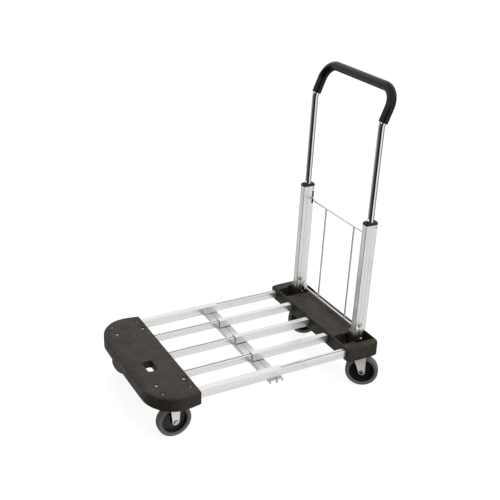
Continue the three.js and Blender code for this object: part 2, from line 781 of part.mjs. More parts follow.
/** Welded wire ladder behind the masts; its top ends run in the slots of the masts. */
function releaseWireFrame() {
  const section = circle(WIRE.r, 8);
  const at = (x, v) => new THREE.Vector3(x, WIRE.u, v);
  const low = WIRE.topV - WIRE.dip;
  const half = [at(WIRE_END.inMast, WIRE.topV), at(WIRE.dipX[0], WIRE.topV), at(WIRE.dipX[1], low)];
  const mirrored = half.map((p) => at(-p.x, p.z)).reverse();
  const top = sweep(section, [...half, ...mirrored]);
  const bottom = bar('x', WIRE.r, [-WIRE_END.foot, WIRE_END.foot], [WIRE.u, WIRE.bottomV], 8);
  const riserX = [-WIRE.riserX, WIRE.riserX];
  const risers = riserX.map((x) => bar('z', WIRE.r - 0.2, [WIRE.bottomV, low], [x, WIRE.u], 8));
  return carve(top, { add: [bottom, ...risers] });
}

/** Latch claw on the foot of the wire frame, beside the bracket's inner cheek. */
function latchClaw(sign) {
  const claw = new THREE.Shape();
  const { u, bottomV } = WIRE;
  claw.moveTo(u + CLAW.backR, bottomV);
  claw.lineTo(u + 4, bottomV + 15);
  claw.absarc(u - 4, bottomV + 16, CLAW.hookR, 0, Math.PI, false);
  claw.lineTo(u - 10.5, bottomV + 8);
  claw.lineTo(u - CLAW.backR, bottomV + 8);
  claw.lineTo(u - CLAW.backR, bottomV);
  claw.absarc(u, bottomV, CLAW.backR, Math.PI, 2 * Math.PI, false);
  const faces = CLAW.x.map((x) => sign * x).sort((a, b) => a - b);
  const hole = bar('x', WIRE.r + 2 * GAP, [faces[0] - 1, faces[1] + 1], [u, bottomV], 8);
  return carve(plateX(claw, faces, 4), { cut: [hole] });
}

/** Compression spring in a mast, between the wire's end and the cap. */
function releaseSpring() {
  const from = WIRE.topV + WIRE.r + SPRING.wire + GAP;
  const to = MAST.v[1] - SPRING.wire - GAP;
  const perTurn = 6;
  const points = [];
  for (let i = 0; i <= SPRING.turns * perTurn; i += 1) {
    const angle = (2 * Math.PI * i) / perTurn;
    const v = from + ((to - from) * i) / (SPRING.turns * perTurn);
    points.push(new THREE.Vector3(SPRING.r * Math.cos(angle), SPRING.r * Math.sin(angle), v));
  }
  return sweep(circle(SPRING.wire, 3), points).translate(0, WIRE.u, 0);
}

// ---- assembly -----------------------------------------------------------------------

function frontDeck() {
  const deck = new THREE.Group();
  deck.add(mesh('front_housing', frontHousing(), housingPlastic));
  for (const [side, sign] of SIDES) {
    const sleeve = mesh(`outer_sleeve_${side}`, deckTube(outerSleeve, OUTER_SLEEVE.y, false), millAluminium);
    sleeve.position.x = sign * OUTER_X;
    deck.add(sleeve, frontCaster([side, sign]));
  }
  for (const [place, x] of [['left', -MIDDLE_X], ['centre', 0], ['right', MIDDLE_X]]) {
    const rail = mesh(`front_rail_${place}`, deckTube(middleRail, FRONT_RAIL_Y, true), millAluminium);
    rail.position.x = x;
    deck.add(rail);
  }
  deck.add(mesh('front_crossbar', crossbar(CROSSBAR.front), millAluminium));
  for (const { name, x, y } of frontScrewPlaces()) {
    const screw = mesh(name, casterScrew(), zincSteel);
    screw.position.set(x, y, 0);
    deck.add(screw);
  }
  return deck;
}

function rearBase() {
  const base = new THREE.Group();
  base.add(mesh('rear_housing', rearHousing(), housingPlastic));
  for (const [place, x] of [['left', -MIDDLE_X], ['centre', 0], ['right', MIDDLE_X]]) {
    const tube = deckTube(middleSleeve, MIDDLE_SLEEVE.y, false);
    const sleeve = mesh(`middle_sleeve_${place}`, tube, millAluminium);
    sleeve.position.x = x;
    base.add(sleeve);
  }
  base.add(mesh('rear_crossbar', crossbar(CROSSBAR.rear), millAluminium));
  for (const [side, sign] of SIDES) {
    const rail = mesh(`rear_rail_${side}`, deckTube(outerRail, REAR_RAIL_Y, true), millAluminium);
    rail.position.x = sign * OUTER_X;
    const stand = new THREE.Group();
    stand.position.x = sign * MAST_X;
    stand.add(mesh(`mast_bracket_${side}`, mastBracket(), zincSteel));
    stand.add(mesh(`pivot_bolt_${side}`, crossBolt(PIVOT_BOLT, PIVOT), zincSteel));
    stand.add(mesh(`bracket_bolt_${side}`, crossBolt(BRACKET_BOLT, BRACKET_BOLT), zincSteel));
    base.add(rail, stand, rearCaster([side, sign]));
  }
  return base;
}

/** Everything that folds on the pivot, in the leaning frame of the masts. */
function foldingMast() {
  const fold = new THREE.Group();
  fold.position.set(0, PIVOT.y, PIVOT.z);
  fold.rotation.x = -LEAN;
  for (const [side, sign] of SIDES) {
    const stand = new THREE.Group();
    stand.position.x = sign * MAST_X;
    stand.add(mesh(`mast_${side}`, mastTube(-sign), millAluminium));
    stand.add(mesh(`mast_cap_${side}`, mastCap(), blackPlastic));
    stand.add(mesh(`snap_button_${side}`, snapButton(), zincSteel));
    const spring = mesh(`release_spring_${side}`, releaseSpring(), springSteel);
    spring.position.x = sign * (SPRING.x - MAST_X);
    stand.add(spring);
    fold.add(stand, mesh(`latch_claw_${side}`, latchClaw(sign), zincSteel));
  }
  fold.add(mesh('release_wire_frame', releaseWireFrame(), brightWire));
  fold.add(mesh('handle_tube', handleTube(), chrome));
  fold.add(mesh('handle_grip', handleGrip(), gripFoam));
  return fold;
}

const cart = new THREE.Group();
cart.name = 'folding_platform_cart';
cart.add(rearBase(), frontDeck(), foldingMast());

export default cart;
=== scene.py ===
"""Visual model of the folding platform cart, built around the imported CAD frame."""

import json
import math

import bmesh
import bpy
from mathutils import Matrix, Vector
from mathutils.geometry import tessellate_polygon


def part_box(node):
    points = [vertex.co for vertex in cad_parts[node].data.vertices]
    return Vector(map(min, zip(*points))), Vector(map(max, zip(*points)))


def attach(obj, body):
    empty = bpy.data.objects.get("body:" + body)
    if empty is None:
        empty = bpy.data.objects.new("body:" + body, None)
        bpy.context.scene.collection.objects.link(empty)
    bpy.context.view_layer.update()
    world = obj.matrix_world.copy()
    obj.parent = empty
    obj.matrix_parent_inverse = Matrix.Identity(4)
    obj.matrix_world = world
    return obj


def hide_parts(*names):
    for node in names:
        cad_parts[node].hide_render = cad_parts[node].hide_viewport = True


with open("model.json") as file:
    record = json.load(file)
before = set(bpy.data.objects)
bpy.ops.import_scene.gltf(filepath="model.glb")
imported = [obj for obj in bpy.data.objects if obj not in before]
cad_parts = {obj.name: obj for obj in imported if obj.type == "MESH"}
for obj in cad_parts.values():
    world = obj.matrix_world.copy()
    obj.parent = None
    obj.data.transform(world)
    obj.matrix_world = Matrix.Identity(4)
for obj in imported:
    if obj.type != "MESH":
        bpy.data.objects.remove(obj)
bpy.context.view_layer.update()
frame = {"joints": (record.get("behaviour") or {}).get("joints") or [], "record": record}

MM = 0.001
BODY = {n: b for b, members in frame["record"]["behaviour"]["bodies"].items() for n in members}
JOINT = {j["name"]: j for j in frame["joints"]}
SIDES = (("left", -1), ("right", 1))
IDENTITY = Matrix.Identity(4)

# ---- places taken from the frame, in millimetres ------------------------------------


def box(node):
    lo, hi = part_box(node)
    return lo / MM, hi / MM


def centre(node):
    lo, hi = box(node)
    return (lo + hi) / 2


PIVOT = Vector(JOINT["mast_fold"]["pos_m"]) / MM
LIFT = JOINT["release_lift"]["axis"]
LEAN = math.atan2(LIFT[1], LIFT[2])
LEANING = Matrix.Translation(PIVOT) @ Matrix.Rotation(-LEAN, 4, "X")
SPIN = JOINT["rear_wheel_spin_right"]["axis"]
SWIVEL = math.atan2(SPIN[1], SPIN[0])

FRONT_LO, FRONT_HI = box("front_housing")
REAR_LO, REAR_HI = box("rear_housing")

# ---- mesh helpers -------------------------------------------------------------------


def rounded(points, radii, steps=4):
    """A polygon with its corners turned into arcs of the given radii."""
    corners = [Vector(p) for p in points]
    count = len(corners)
    if not hasattr(radii, "__len__"):
        radii = [radii] * count
    out = []
    for i, (corner, r) in enumerate(zip(corners, radii)):
        if r <= 0:
            out.append(corner)
            continue
        a = (corners[i - 1] - corner).normalized()
        b = (corners[(i + 1) % count] - corner).normalized()
        half = math.acos(max(-1, min(1, a.dot(b)))) / 2
        middle = corner + (a + b).normalized() * (r / math.sin(half))
        arm = corner + a * (r / math.tan(half)) - middle
        turn = math.pi - 2 * half
        if a.x * b.y - a.y * b.x > 0:
            turn = -turn
        for k in range(steps + 1):
            angle = turn * k / steps
            c, s = math.cos(angle), math.sin(angle)
            out.append(middle + Vector((arm.x * c - arm.y * s, arm.x * s + arm.y * c)))
    return out


def rect(x, y, r=0, steps=4):
    """Anticlockwise rectangle between two ranges."""
    return rounded([(x[0], y[0]), (x[1], y[0]), (x[1], y[1]), (x[0], y[1])], r, steps)


def disc(x, y, r, sides=32, phase=0):
    turns = [phase + 2 * math.pi * i / sides for i in range(sides)]
    return [Vector((x + r * math.cos(t), y + r * math.sin(t))) for t in turns]


def mirror(points):
    return [Vector((-p[0], p[1])) for p in reversed(points)]


def area(points):
    return sum(a.x * b.y - a.y * b.x for a, b in zip(points, points[1:] + points[:1])) / 2


def inset(points, d):
    """Moves an anticlockwise outline inwards, or a clockwise hole outwards."""
    if abs(d) < 1e-9:
        return points
    out = []
    for i, p in enumerate(points):
        e1 = (p - points[i - 1]).normalized()
        e2 = (points[(i + 1) % len(points)] - p).normalized()
        n1, n2 = Vector((-e1.y, e1.x)), Vector((-e2.y, e2.x))
        out.append(p + (n1 + n2) * (d / (1 + max(-0.6, n1.dot(n2)))))
    return out


CLEAR = 3  # how far a cutter stands out of the face it cuts


def quarter(steps):
    """Angles that step through a quarter turn."""
    return [math.pi / 2 * k / steps for k in range(steps + 1)]


def band(a, b, n):
    """Quads between two loops of n vertices, which start at vertices a and b."""
    return [(a + i, a + (i + 1) % n, b + (i + 1) % n, b + i) for i in range(n)]


AXES = {
    "x": lambda a, b, h: Vector((h, a, b)),
    "y": lambda a, b, h: Vector((a, h, b)),
    "z": lambda a, b, h: Vector((a, b, h)),
}


def loft(rings):
    """Joins rings of equal length, and closes both ends. Each ring is a list of loops."""
    verts, faces, starts = [], [], []
    for loops in rings:
        row = []
        for loop in loops:
            row.append(len(verts))
            verts.extend(loop)
        starts.append(row)
    for lower, upper, loops in zip(starts, starts[1:], rings):
        for low, high, loop in zip(lower, upper, loops):
            faces += band(low, high, len(loop))
    for row, loops in ((starts[0], rings[0]), (starts[-1], rings[-1])):
        if len(loops) == 1:
            faces.append(tuple(range(row[0], row[0] + len(loops[0]))))
        else:
            faces += [tuple(row[0] + i for i in tri) for tri in tessellate_polygon(loops)]
    return verts, faces


def round_ends(lo, hi, fillet):
    """Stations (height, inset) of a prism whose two ends are rounded."""
    if fillet <= 0:
        return [(lo, 0), (hi, 0)]
    low = [(lo + fillet * (1 - math.cos(t)), fillet * (1 - math.sin(t))) for t in quarter(3)]
    return low + [(lo + hi - h, d) for h, d in reversed(low)]


def prism(outer, span, axis="z", holes=(), fillet=0.0, stations=None):
    """An extruded outline. Stations are (height, inset) pairs and default to rounded ends."""
    outer = outer if area(outer) > 0 else outer[::-1]
    loops = [outer] + [h if area(h) < 0 else h[::-1] for h in holes]
    lo, hi = sorted(span)
    place = AXES[axis]
    rings = []
    for h, d in stations or round_ends(lo, hi, fillet):
        rings.append([[place(p.x, p.y, h) for p in inset(loop, d)] for loop in loops])
    return loft(rings)


def flared(outer, bottom, top, flare):
    """A cutter whose mouth opens out with a radius at its top."""
    lip = [(top - flare + flare * math.sin(t), -flare * (1 - math.cos(t))) for t in quarter(4)]
    return prism(outer, (bottom, top), stations=[(bottom, 0), *lip, (top + CLEAR, -flare)])


def lathe(profile, axis="z", at=(0, 0, 0), sides=48):
    """Turns a closed (radius, station) profile about an axis through a point."""
    verts, faces = [], []
    n = len(profile)
    for i in range(sides):
        t = 2 * math.pi * i / sides
        for r, h in profile:
            verts.append(AXES[axis](r * math.cos(t), r * math.sin(t), h) + Vector(at))
    for i in range(sides):
        faces += band(i * n, (i + 1) % sides * n, n)
    return verts, faces


def tube(points, r, sides=20, bore=0.0, ends=0.0):
    """A round wire or pipe along a list of points, with its outer ends rounded by `ends`."""
    points = [Vector(p) for p in points]
    tangents = []
    for i in range(len(points)):
        before = points[i] - points[i - 1] if i else Vector()
        after = points[i + 1] - points[i] if i + 1 < len(points) else Vector()
        tangents.append((before.normalized() + after.normalized()).normalized())
    side = tangents[0].orthogonal().normalized()
    stations = []
    for p, t in zip(points, tangents):
        side = (side - t * side.dot(t)).normalized()
        stations.append((p, t, side, r))

    def cap(station, reach):
        p, t, s, _ = station
        arc = quarter(4)
        return [(p + t * reach * (1 - math.cos(a)), t, s, r - ends * (1 - math.sin(a))) for a in arc]

    def ring(p, t, s, radius):
        other = t.cross(s)
        turns = [2 * math.pi * i / sides for i in range(sides)]
        return [p + (s * math.cos(a) + other * math.sin(a)) * radius for a in turns]

    if ends > 0:
        stations = cap(stations[0], ends) + stations[1:-1] + cap(stations[-1], -ends)[::-1]
    outer = [ring(*s) for s in stations]
    verts = [v for loop in outer for v in loop]
    faces = []
    for k in range(len(outer) - 1):
        faces += band(k * sides, (k + 1) * sides, sides)
    if bore <= 0:
        faces += [tuple(range(sides)), tuple(range(len(verts) - sides, len(verts)))]
        return verts, faces
    base = len(verts)
    inner = [ring(p, t, s, bore) for p, t, s, _ in stations]
    verts += [v for loop in inner for v in loop]
    for k in range(len(inner) - 1):
        faces += band(base + (k + 1) * sides, base + k * sides, sides)
    faces += band(0, base, sides) + band(base - sides, len(verts) - sides, sides)
    return verts, faces


def bend(before, corner, after, r, steps):
    """The arc that replaces the corner between two straight runs."""
    before, corner, after = Vector(before), Vector(corner), Vector(after)
    a, b = (before - corner).normalized(), (after - corner).normalized()
    half = a.angle(b) / 2
    middle = corner + (a + b).normalized() * (r / math.sin(half))
    start = corner + a * (r / math.tan(half)) - middle
    end = corner + b * (r / math.tan(half)) - middle
    axis, turn = start.cross(end).normalized(), start.angle(end)
    return [middle + Matrix.Rotation(turn * k / steps, 3, axis) @ start for k in range(steps + 1)]


def shifted(part, x):
    verts, faces = part
    return [Matrix.Translation((x, 0, 0)) @ v for v in verts], faces


def make_object(name, parts, matrix=IDENTITY):
    """One object in metres from closed parts in millimetres."""
    mesh = bpy.data.meshes.new(name)
    bm = bmesh.new()
    for verts, faces in parts:
        made = [bm.verts.new((matrix @ v) * MM) for v in verts]
        for face in faces:
            try:
                bm.faces.new([made[i] for i in face])
            except ValueError:
                continue
    bmesh.ops.remove_doubles(bm, verts=bm.verts, dist=1e-7)
    bmesh.ops.dissolve_degenerate(bm, edges=bm.edges, dist=1e-7)
    bmesh.ops.recalc_face_normals(bm, faces=bm.faces)
    bm.to_mesh(mesh)
    bm.free()
    obj = bpy.data.objects.new(name, mesh)
    bpy.context.scene.collection.objects.link(obj)
    return obj


def bake_modifiers(obj):
    depsgraph = bpy.context.evaluated_depsgraph_get()
    mesh = bpy.data.meshes.new_from_object(obj.evaluated_get(depsgraph), depsgraph=depsgraph)
    old = obj.data
    obj.modifiers.clear()
    obj.data = mesh
    bpy.data.meshes.remove(old)


def boolean(obj, groups, matrix=IDENTITY):
    """Applies (operation, parts) groups in turn. A part is a mesh part or a finished object."""
    operands = []
    for operation, parts in groups:
        for part in parts:
            operand = part
            if not isinstance(part, bpy.types.Object):
                operand = make_object("operand", [part], matrix)
            operands.append(operand)
            step = obj.modifiers.new("carve", "BOOLEAN")
            step.operation, step.solver, step.object = operation, "EXACT", operand
    bake_modifiers(obj)
    for operand in operands:
        mesh = operand.data
        bpy.data.objects.remove(operand)
        bpy.data.meshes.remove(mesh)
    return obj


SHARP = math.radians(34)


def shade(obj):
    """Smooth faces with sharp edges kept, and flat faces kept flat beside their fillets."""
    bm = bmesh.new()
    bm.from_mesh(obj.data)
    bmesh.ops.triangulate(bm, faces=[f for f in bm.faces if len(f.verts) > 4])
    for face in bm.faces:
        face.smooth = True
    for edge in bm.edges:
        edge.smooth = len(edge.link_faces) == 2 and edge.calc_face_angle(0) < SHARP
    bm.to_mesh(obj.data)
    bm.free()
    weighted = obj.modifiers.new("normals", "WEIGHTED_NORMAL")
    weighted.keep_sharp = True
    weighted.weight = 60
    bake_modifiers(obj)


# ---- finishes -----------------------------------------------------------------------


def linear(hex_colour):
    """An sRGB colour written as #rrggbb, in linear light."""
    values = [int(hex_colour[i : i + 2], 16) / 255 for i in (1, 3, 5)]
    return [v / 12.92 if v <= 0.04045 else ((v + 0.055) / 1.055) ** 2.4 for v in values] + [1]


class Finish:
    """A principled material with helpers for its texture nodes."""

    def __init__(self, name, colour, roughness, metallic=0.0, specular=0.5):
        self.material = bpy.data.materials.new(name)
        self.material.use_nodes = True
        self.nodes = self.material.node_tree.nodes
        self.shader = self.nodes["Principled BSDF"]
        self.set("Base Color", linear(colour))
        self.set("Roughness", roughness)
        self.set("Metallic", metallic)
        self.set("Specular IOR Level", specular)
        self.coordinates = self.nodes.new("ShaderNodeTexCoord").outputs["Object"]

    def set(self, socket, value):
        self.shader.inputs[socket].default_value = value

    def link(self, a, b):
        self.material.node_tree.links.new(a, b)

    def noise(self, scale, stretch=(1, 1, 1), detail=4.0, rough=0.55, turn=(0, 0, 0)):
        mapping = self.nodes.new("ShaderNodeMapping")
        mapping.inputs["Scale"].default_value = stretch
        mapping.inputs["Rotation"].default_value = turn
        texture = self.nodes.new("ShaderNodeTexNoise")
        texture.inputs["Scale"].default_value = scale
        texture.inputs["Detail"].default_value = detail
        texture.inputs["Roughness"].default_value = rough
        self.link(self.coordinates, mapping.inputs["Vector"])
        self.link(mapping.outputs["Vector"], texture.inputs["Vector"])
        return texture.outputs["Fac"]

    def ramp(self, value, low, high, to_low=0.0, to_high=1.0):
        node = self.nodes.new("ShaderNodeMapRange")
        node.interpolation_type = "SMOOTHSTEP"
        for socket, number in zip(node.inputs[1:5], (low, high, to_low, to_high)):
            socket.default_value = number
        self.link(value, node.inputs[0])
        return node.outputs[0]

    def times(self, a, b):
        node = self.nodes.new("ShaderNodeMath")
        node.operation = "MULTIPLY"
        self.link(a, node.inputs[0])
        if isinstance(b, float):
            node.inputs[1].default_value = b
        else:
            self.link(b, node.inputs[1])
        return node.outputs[0]

    def tint(self, factor, colour):
        """Mixes a colour over the base colour by a factor."""
        node = self.nodes.new("ShaderNodeMix")
        node.data_type = "RGBA"
        base = self.shader.inputs["Base Color"]
        if base.is_linked:
            self.link(base.links[0].from_socket, node.inputs["A"])
        else:
            node.inputs["A"].default_value = base.default_value
        node.inputs["B"].default_value = linear(colour)
        self.link(factor, node.inputs["Factor"])
        self.link(node.outputs["Result"], base)
        return self

    def rough(self, value, low, high, to_low, to_high):
        self.link(self.ramp(value, low, high, to_low, to_high), self.shader.inputs["Roughness"])
        return self

    def bump(self, height, distance, strength=1.0):
        node = self.nodes.new("ShaderNodeBump")
        node.inputs["Strength"].default_value = strength
        node.inputs["Distance"].default_value = distance
        self.link(height, node.inputs["Height"])
        normal = self.shader.inputs["Normal"]
        if normal.is_linked:
            self.link(normal.links[0].from_socket, node.inputs["Normal"])
        self.link(node.outputs["Normal"], normal)
        return self


def housing_plastic():
    f = Finish("housing_plastic", "#312b24", 0.52, specular=0.2)
    f.tint(f.ramp(f.noise(14, detail=3), 0.35, 0.7), "#28241d")
    f.tint(f.ramp(f.noise(55, detail=5), 0.5, 0.8, 0, 0.35), "#39342c")
    scuff = f.ramp(f.noise(60, (1, 0.12, 1), 6, 0.7, (0, 0, 0.5)), 0.64, 0.74)
    nick = f.ramp(f.noise(240, detail=3), 0.64, 0.72)
    f.tint(f.times(scuff, f.ramp(f.noise(9), 0.42, 0.58, 0, 0.6)), "#655d53")
    f.tint(f.times(nick, 0.55), "#8c8378")
    f.rough(f.noise(40), 0.3, 0.7, 0.42, 0.58)
    f.bump(f.noise(1500, detail=2), 0.00012, 0.5)
    return f.bump(f.noise(420, detail=3), 0.00018, 0.3).material


def black_plastic():
    f = Finish("black_plastic", "#0d0d0e", 0.42, specular=0.4)
    f.tint(f.ramp(f.noise(45), 0.4, 0.75, 0, 0.6), "#161617")
    f.rough(f.noise(70), 0.3, 0.7, 0.36, 0.52)
    return f.bump(f.noise(1300, detail=2), 0.0001, 0.4).material


def aluminium(name, stretch, colour="#dddddd"):
    """Mill aluminium with drawing lines along the direction where `stretch` is small."""
    f = Finish(name, colour, 0.3, metallic=0.82)
    lines = f.noise(520, stretch, 5, 0.75)
    broad = f.noise(150, stretch, 4, 0.65)
    f.tint(f.ramp(lines, 0.42, 0.72, 0, 0.34), "#b8b8b8")
    f.tint(f.ramp(broad, 0.5, 0.72, 0, 0.22), "#b0b0b0")
    f.tint(f.ramp(f.noise(26, detail=4), 0.55, 0.75, 0, 0.22), "#bdbbb8")
    f.tint(f.ramp(f.noise(310, detail=1), 0.74, 0.8, 0, 0.4), "#8f8f8f")
    f.rough(broad, 0.3, 0.7, 0.2, 0.36)
    f.bump(lines, 0.00005, 0.25)
    return f.bump(f.noise(90, detail=2), 0.00008, 0.25).material


def chrome():
    f = Finish("chrome", "#d9dadd", 0.06, metallic=1.0)
    f.tint(f.ramp(f.noise(18, detail=4), 0.5, 0.75, 0, 0.35), "#bdb7b2")
    f.rough(f.noise(60, (1, 1, 0.2)), 0.4, 0.8, 0.045, 0.13)
    return f.bump(f.noise(35, detail=2), 0.00006, 0.2).material


def plated(name, colour, dull, roughness, metallic, shade_height=None):
    """Zinc or nickel plate, dulled in patches; `shade_height` is the height below which painted
    shade darkens it.
    """
    f = Finish(name, colour, roughness, metallic=metallic)
    f.tint(f.ramp(f.noise(420, detail=3), 0.42, 0.7, 0, 0.5), dull)
    f.tint(f.ramp(f.noise(38, detail=5), 0.6, 0.85, 0, 0.25), "#a19f9b")
    f.rough(f.noise(350, detail=4), 0.35, 0.7, roughness - 0.06, roughness + 0.08)
    if shade_height:
        # painted shade: the plate fades to near black below the given height, standing in for the
        # shadow deep in the mast bay
        split = f.nodes.new("ShaderNodeSeparateXYZ")
        f.link(f.coordinates, split.inputs[0])
        f.tint(f.ramp(split.outputs["Z"], shade_height - 0.02, shade_height + 0.012, 0.96, 0.0), "#1d1b19")
    return f.bump(f.noise(500, detail=2), 0.00006, 0.35).material


def rubber():
    f = Finish("grey_rubber", "#696868", 0.78, specular=0.3)
    f.tint(f.ramp(f.noise(70, detail=5), 0.45, 0.75, 0, 0.7), "#5c5b5a")
    f.tint(f.ramp(f.noise(300, detail=3), 0.62, 0.78, 0, 0.5), "#7c7a78")
    f.rough(f.noise(110), 0.3, 0.7, 0.68, 0.86)
    return f.bump(f.noise(900, detail=3), 0.00015, 0.5).material


def foam():
    f = Finish("grip_foam", "#040404", 0.2, specular=0.26)
    f.tint(f.ramp(f.noise(900, detail=2), 0.5, 0.7, 0, 0.5), "#0c0c0d")
    f.rough(f.noise(50), 0.3, 0.7, 0.13, 0.24)
    cells = f.nodes.new("ShaderNodeTexVoronoi")
    cells.inputs["Scale"].default_value = 1500
    f.link(f.coordinates, cells.inputs["Vector"])
    f.bump(cells.outputs["Distance"], 0.00008, 0.2)
    return f.bump(f.noise(300, detail=2), 0.00006, 0.15).material


ALONG_DECK = aluminium("aluminium_along_deck", (1, 0.012, 1))
ALONG_MAST = aluminium("aluminium_along_mast", (1, 1, 0.012))
# painted shade: the crossbars get a darker aluminium than the deck tubes, standing in for the shade
# under the tubes
ALONG_BAR = aluminium("aluminium_along_bar", (0.012, 1, 1), "#d2d2d2")
# painted shade: a darker, duller plate for the rail grooves, standing in for the shade inside them
GROOVE_SHADE = plated("groove_painted_shade", "#8c8c8b", "#727271", 0.45, 0.7)
HOUSING = housing_plastic()
BLACK = black_plastic()
CHROME = chrome()
ZINC = plated("zinc_plate", "#f5f4f1", "#e4e2dd", 0.36, 0.25)
# the brackets get painted shade towards their foot, where they stand in the dark bay
BRACKET_ZINC = plated("bracket_zinc_plate", "#f0efec", "#d9d7d3", 0.24, 0.6, shade_height=0.186)
NICKEL = plated("nickel_wire", "#dededc", "#c6c5c2", 0.3, 0.45)
# painted shade: bolt zinc is darker than the forks' plate so that the bolts read as lying in shadow
SHADE_DARK_ZINC = plated("shade_darkened_zinc_plate", "#b4b3b0", "#8b8a87", 0.2, 1.0)
SCREW_ZINC = plated("screw_zinc_plate", "#dddcd9", "#94938f", 0.3, 0.55)
SPRING = plated("spring_steel", "#9b9da0", "#7f8184", 0.34, 0.9)
RUBBER = rubber()
FOAM = foam()


def piece(node, parts, material, matrix=IDENTITY, carve=()):
    """A finished piece that stands for one CAD node and rides on that node's body."""
    obj = make_object(f"{node}_piece", parts, matrix)
    if carve:
        boolean(obj, carve, matrix)
    shade(obj)
    obj.data.materials.clear()
    obj.data.materials.append(material)
    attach(obj, BODY[node])
    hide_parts(node)
    return obj


# ---- camera, light and floor --------------------------------------------------------

CAMERA = {
    "place": (1.99902, -1.08604, 1.49554),
    "azimuth": 1.064142,
    "elevation": 0.437304,
    "roll": 0.033283,
    "lens": 63.2765,
    "sensor": 36,
}


def add_camera():
    data = bpy.data.cameras.new("camera")
    data.sensor_width, data.lens = CAMERA["sensor"], CAMERA["lens"]
    data.clip_start, data.clip_end = 0.05, 200
    camera = bpy.data.objects.new("camera", data)
    a, e, roll = CAMERA["azimuth"], CAMERA["elevation"], CAMERA["roll"]
    back = Vector((math.sin(a) * math.cos(e), -math.cos(a) * math.cos(e), math.sin(e)))
    right = Vector((math.cos(a), math.sin(a), 0))
    up = back.cross(right)
    c, s = math.cos(roll), math.sin(roll)
    turned = Matrix((right * c + up * s, up * c - right * s, back)).transposed()
    camera.matrix_world = Matrix.Translation(CAMERA["place"]) @ turned.to_4x4()
    bpy.context.scene.collection.objects.link(camera)
    bpy.context.scene.camera = camera


def add_lamp(name, place, target, size, power):
    data = bpy.data.lights.new(name, "AREA")
    data.shape, data.size, data.size_y, data.energy = "RECTANGLE", size[0], size[1], power
    lamp = bpy.data.objects.new(name, data)
    lamp.location = place
    lamp.rotation_euler = (Vector(target) - Vector(place)).to_track_quat("-Z", "Y").to_euler()
    bpy.context.scene.collection.objects.link(lamp)
    lamp.visible_glossy = False


def add_floor():
    half, gap = 40, 0.0006
    corners = [(-half, -half, 0), (half, -half, 0), (half, half, 0), (-half, half, 0)]
    mesh = bpy.data.meshes.new("floor")
    mesh.from_pydata([Vector(c) for c in corners], [], [(0, 1, 2, 3)])
    floor = bpy.data.objects.new("floor", mesh)
    floor.location.z = -gap
    bpy.context.scene.collection.objects.link(floor)
    f = Finish("floor_paper", "#ffffff", 0.9, specular=0.0)
    f.set("Base Color", (0.22, 0.22, 0.22, 1))
    f.set("Emission Color", (1, 1, 1, 1))
    f.set("Emission Strength", 0.86)
    mesh.materials.append(f.material)
    floor.visible_glossy = False
    floor.visible_diffuse = False


# (azimuth share, brightness) of what shines on upright faces: white cards and dark flags
CARDS = (
    (0.0, 0.3), (0.1, 0.16), (0.125, 0.9), (0.195, 0.9), (0.22, 0.17), (0.38, 0.12), (0.44, 0.012),
    (0.55, 0.012), (0.58, 1.12), (0.695, 1.12), (0.725, 0.36), (0.9, 0.26), (1.0, 0.3),
)
# (height, share of the sky over the cards, its brightness)
SKY = ((0.16, 0.0, 0.0), (0.32, 1.0, 1.25), (0.5, 1.0, 1.25), (0.72, 1.0, 1.0), (1.0, 1.0, 1.0))


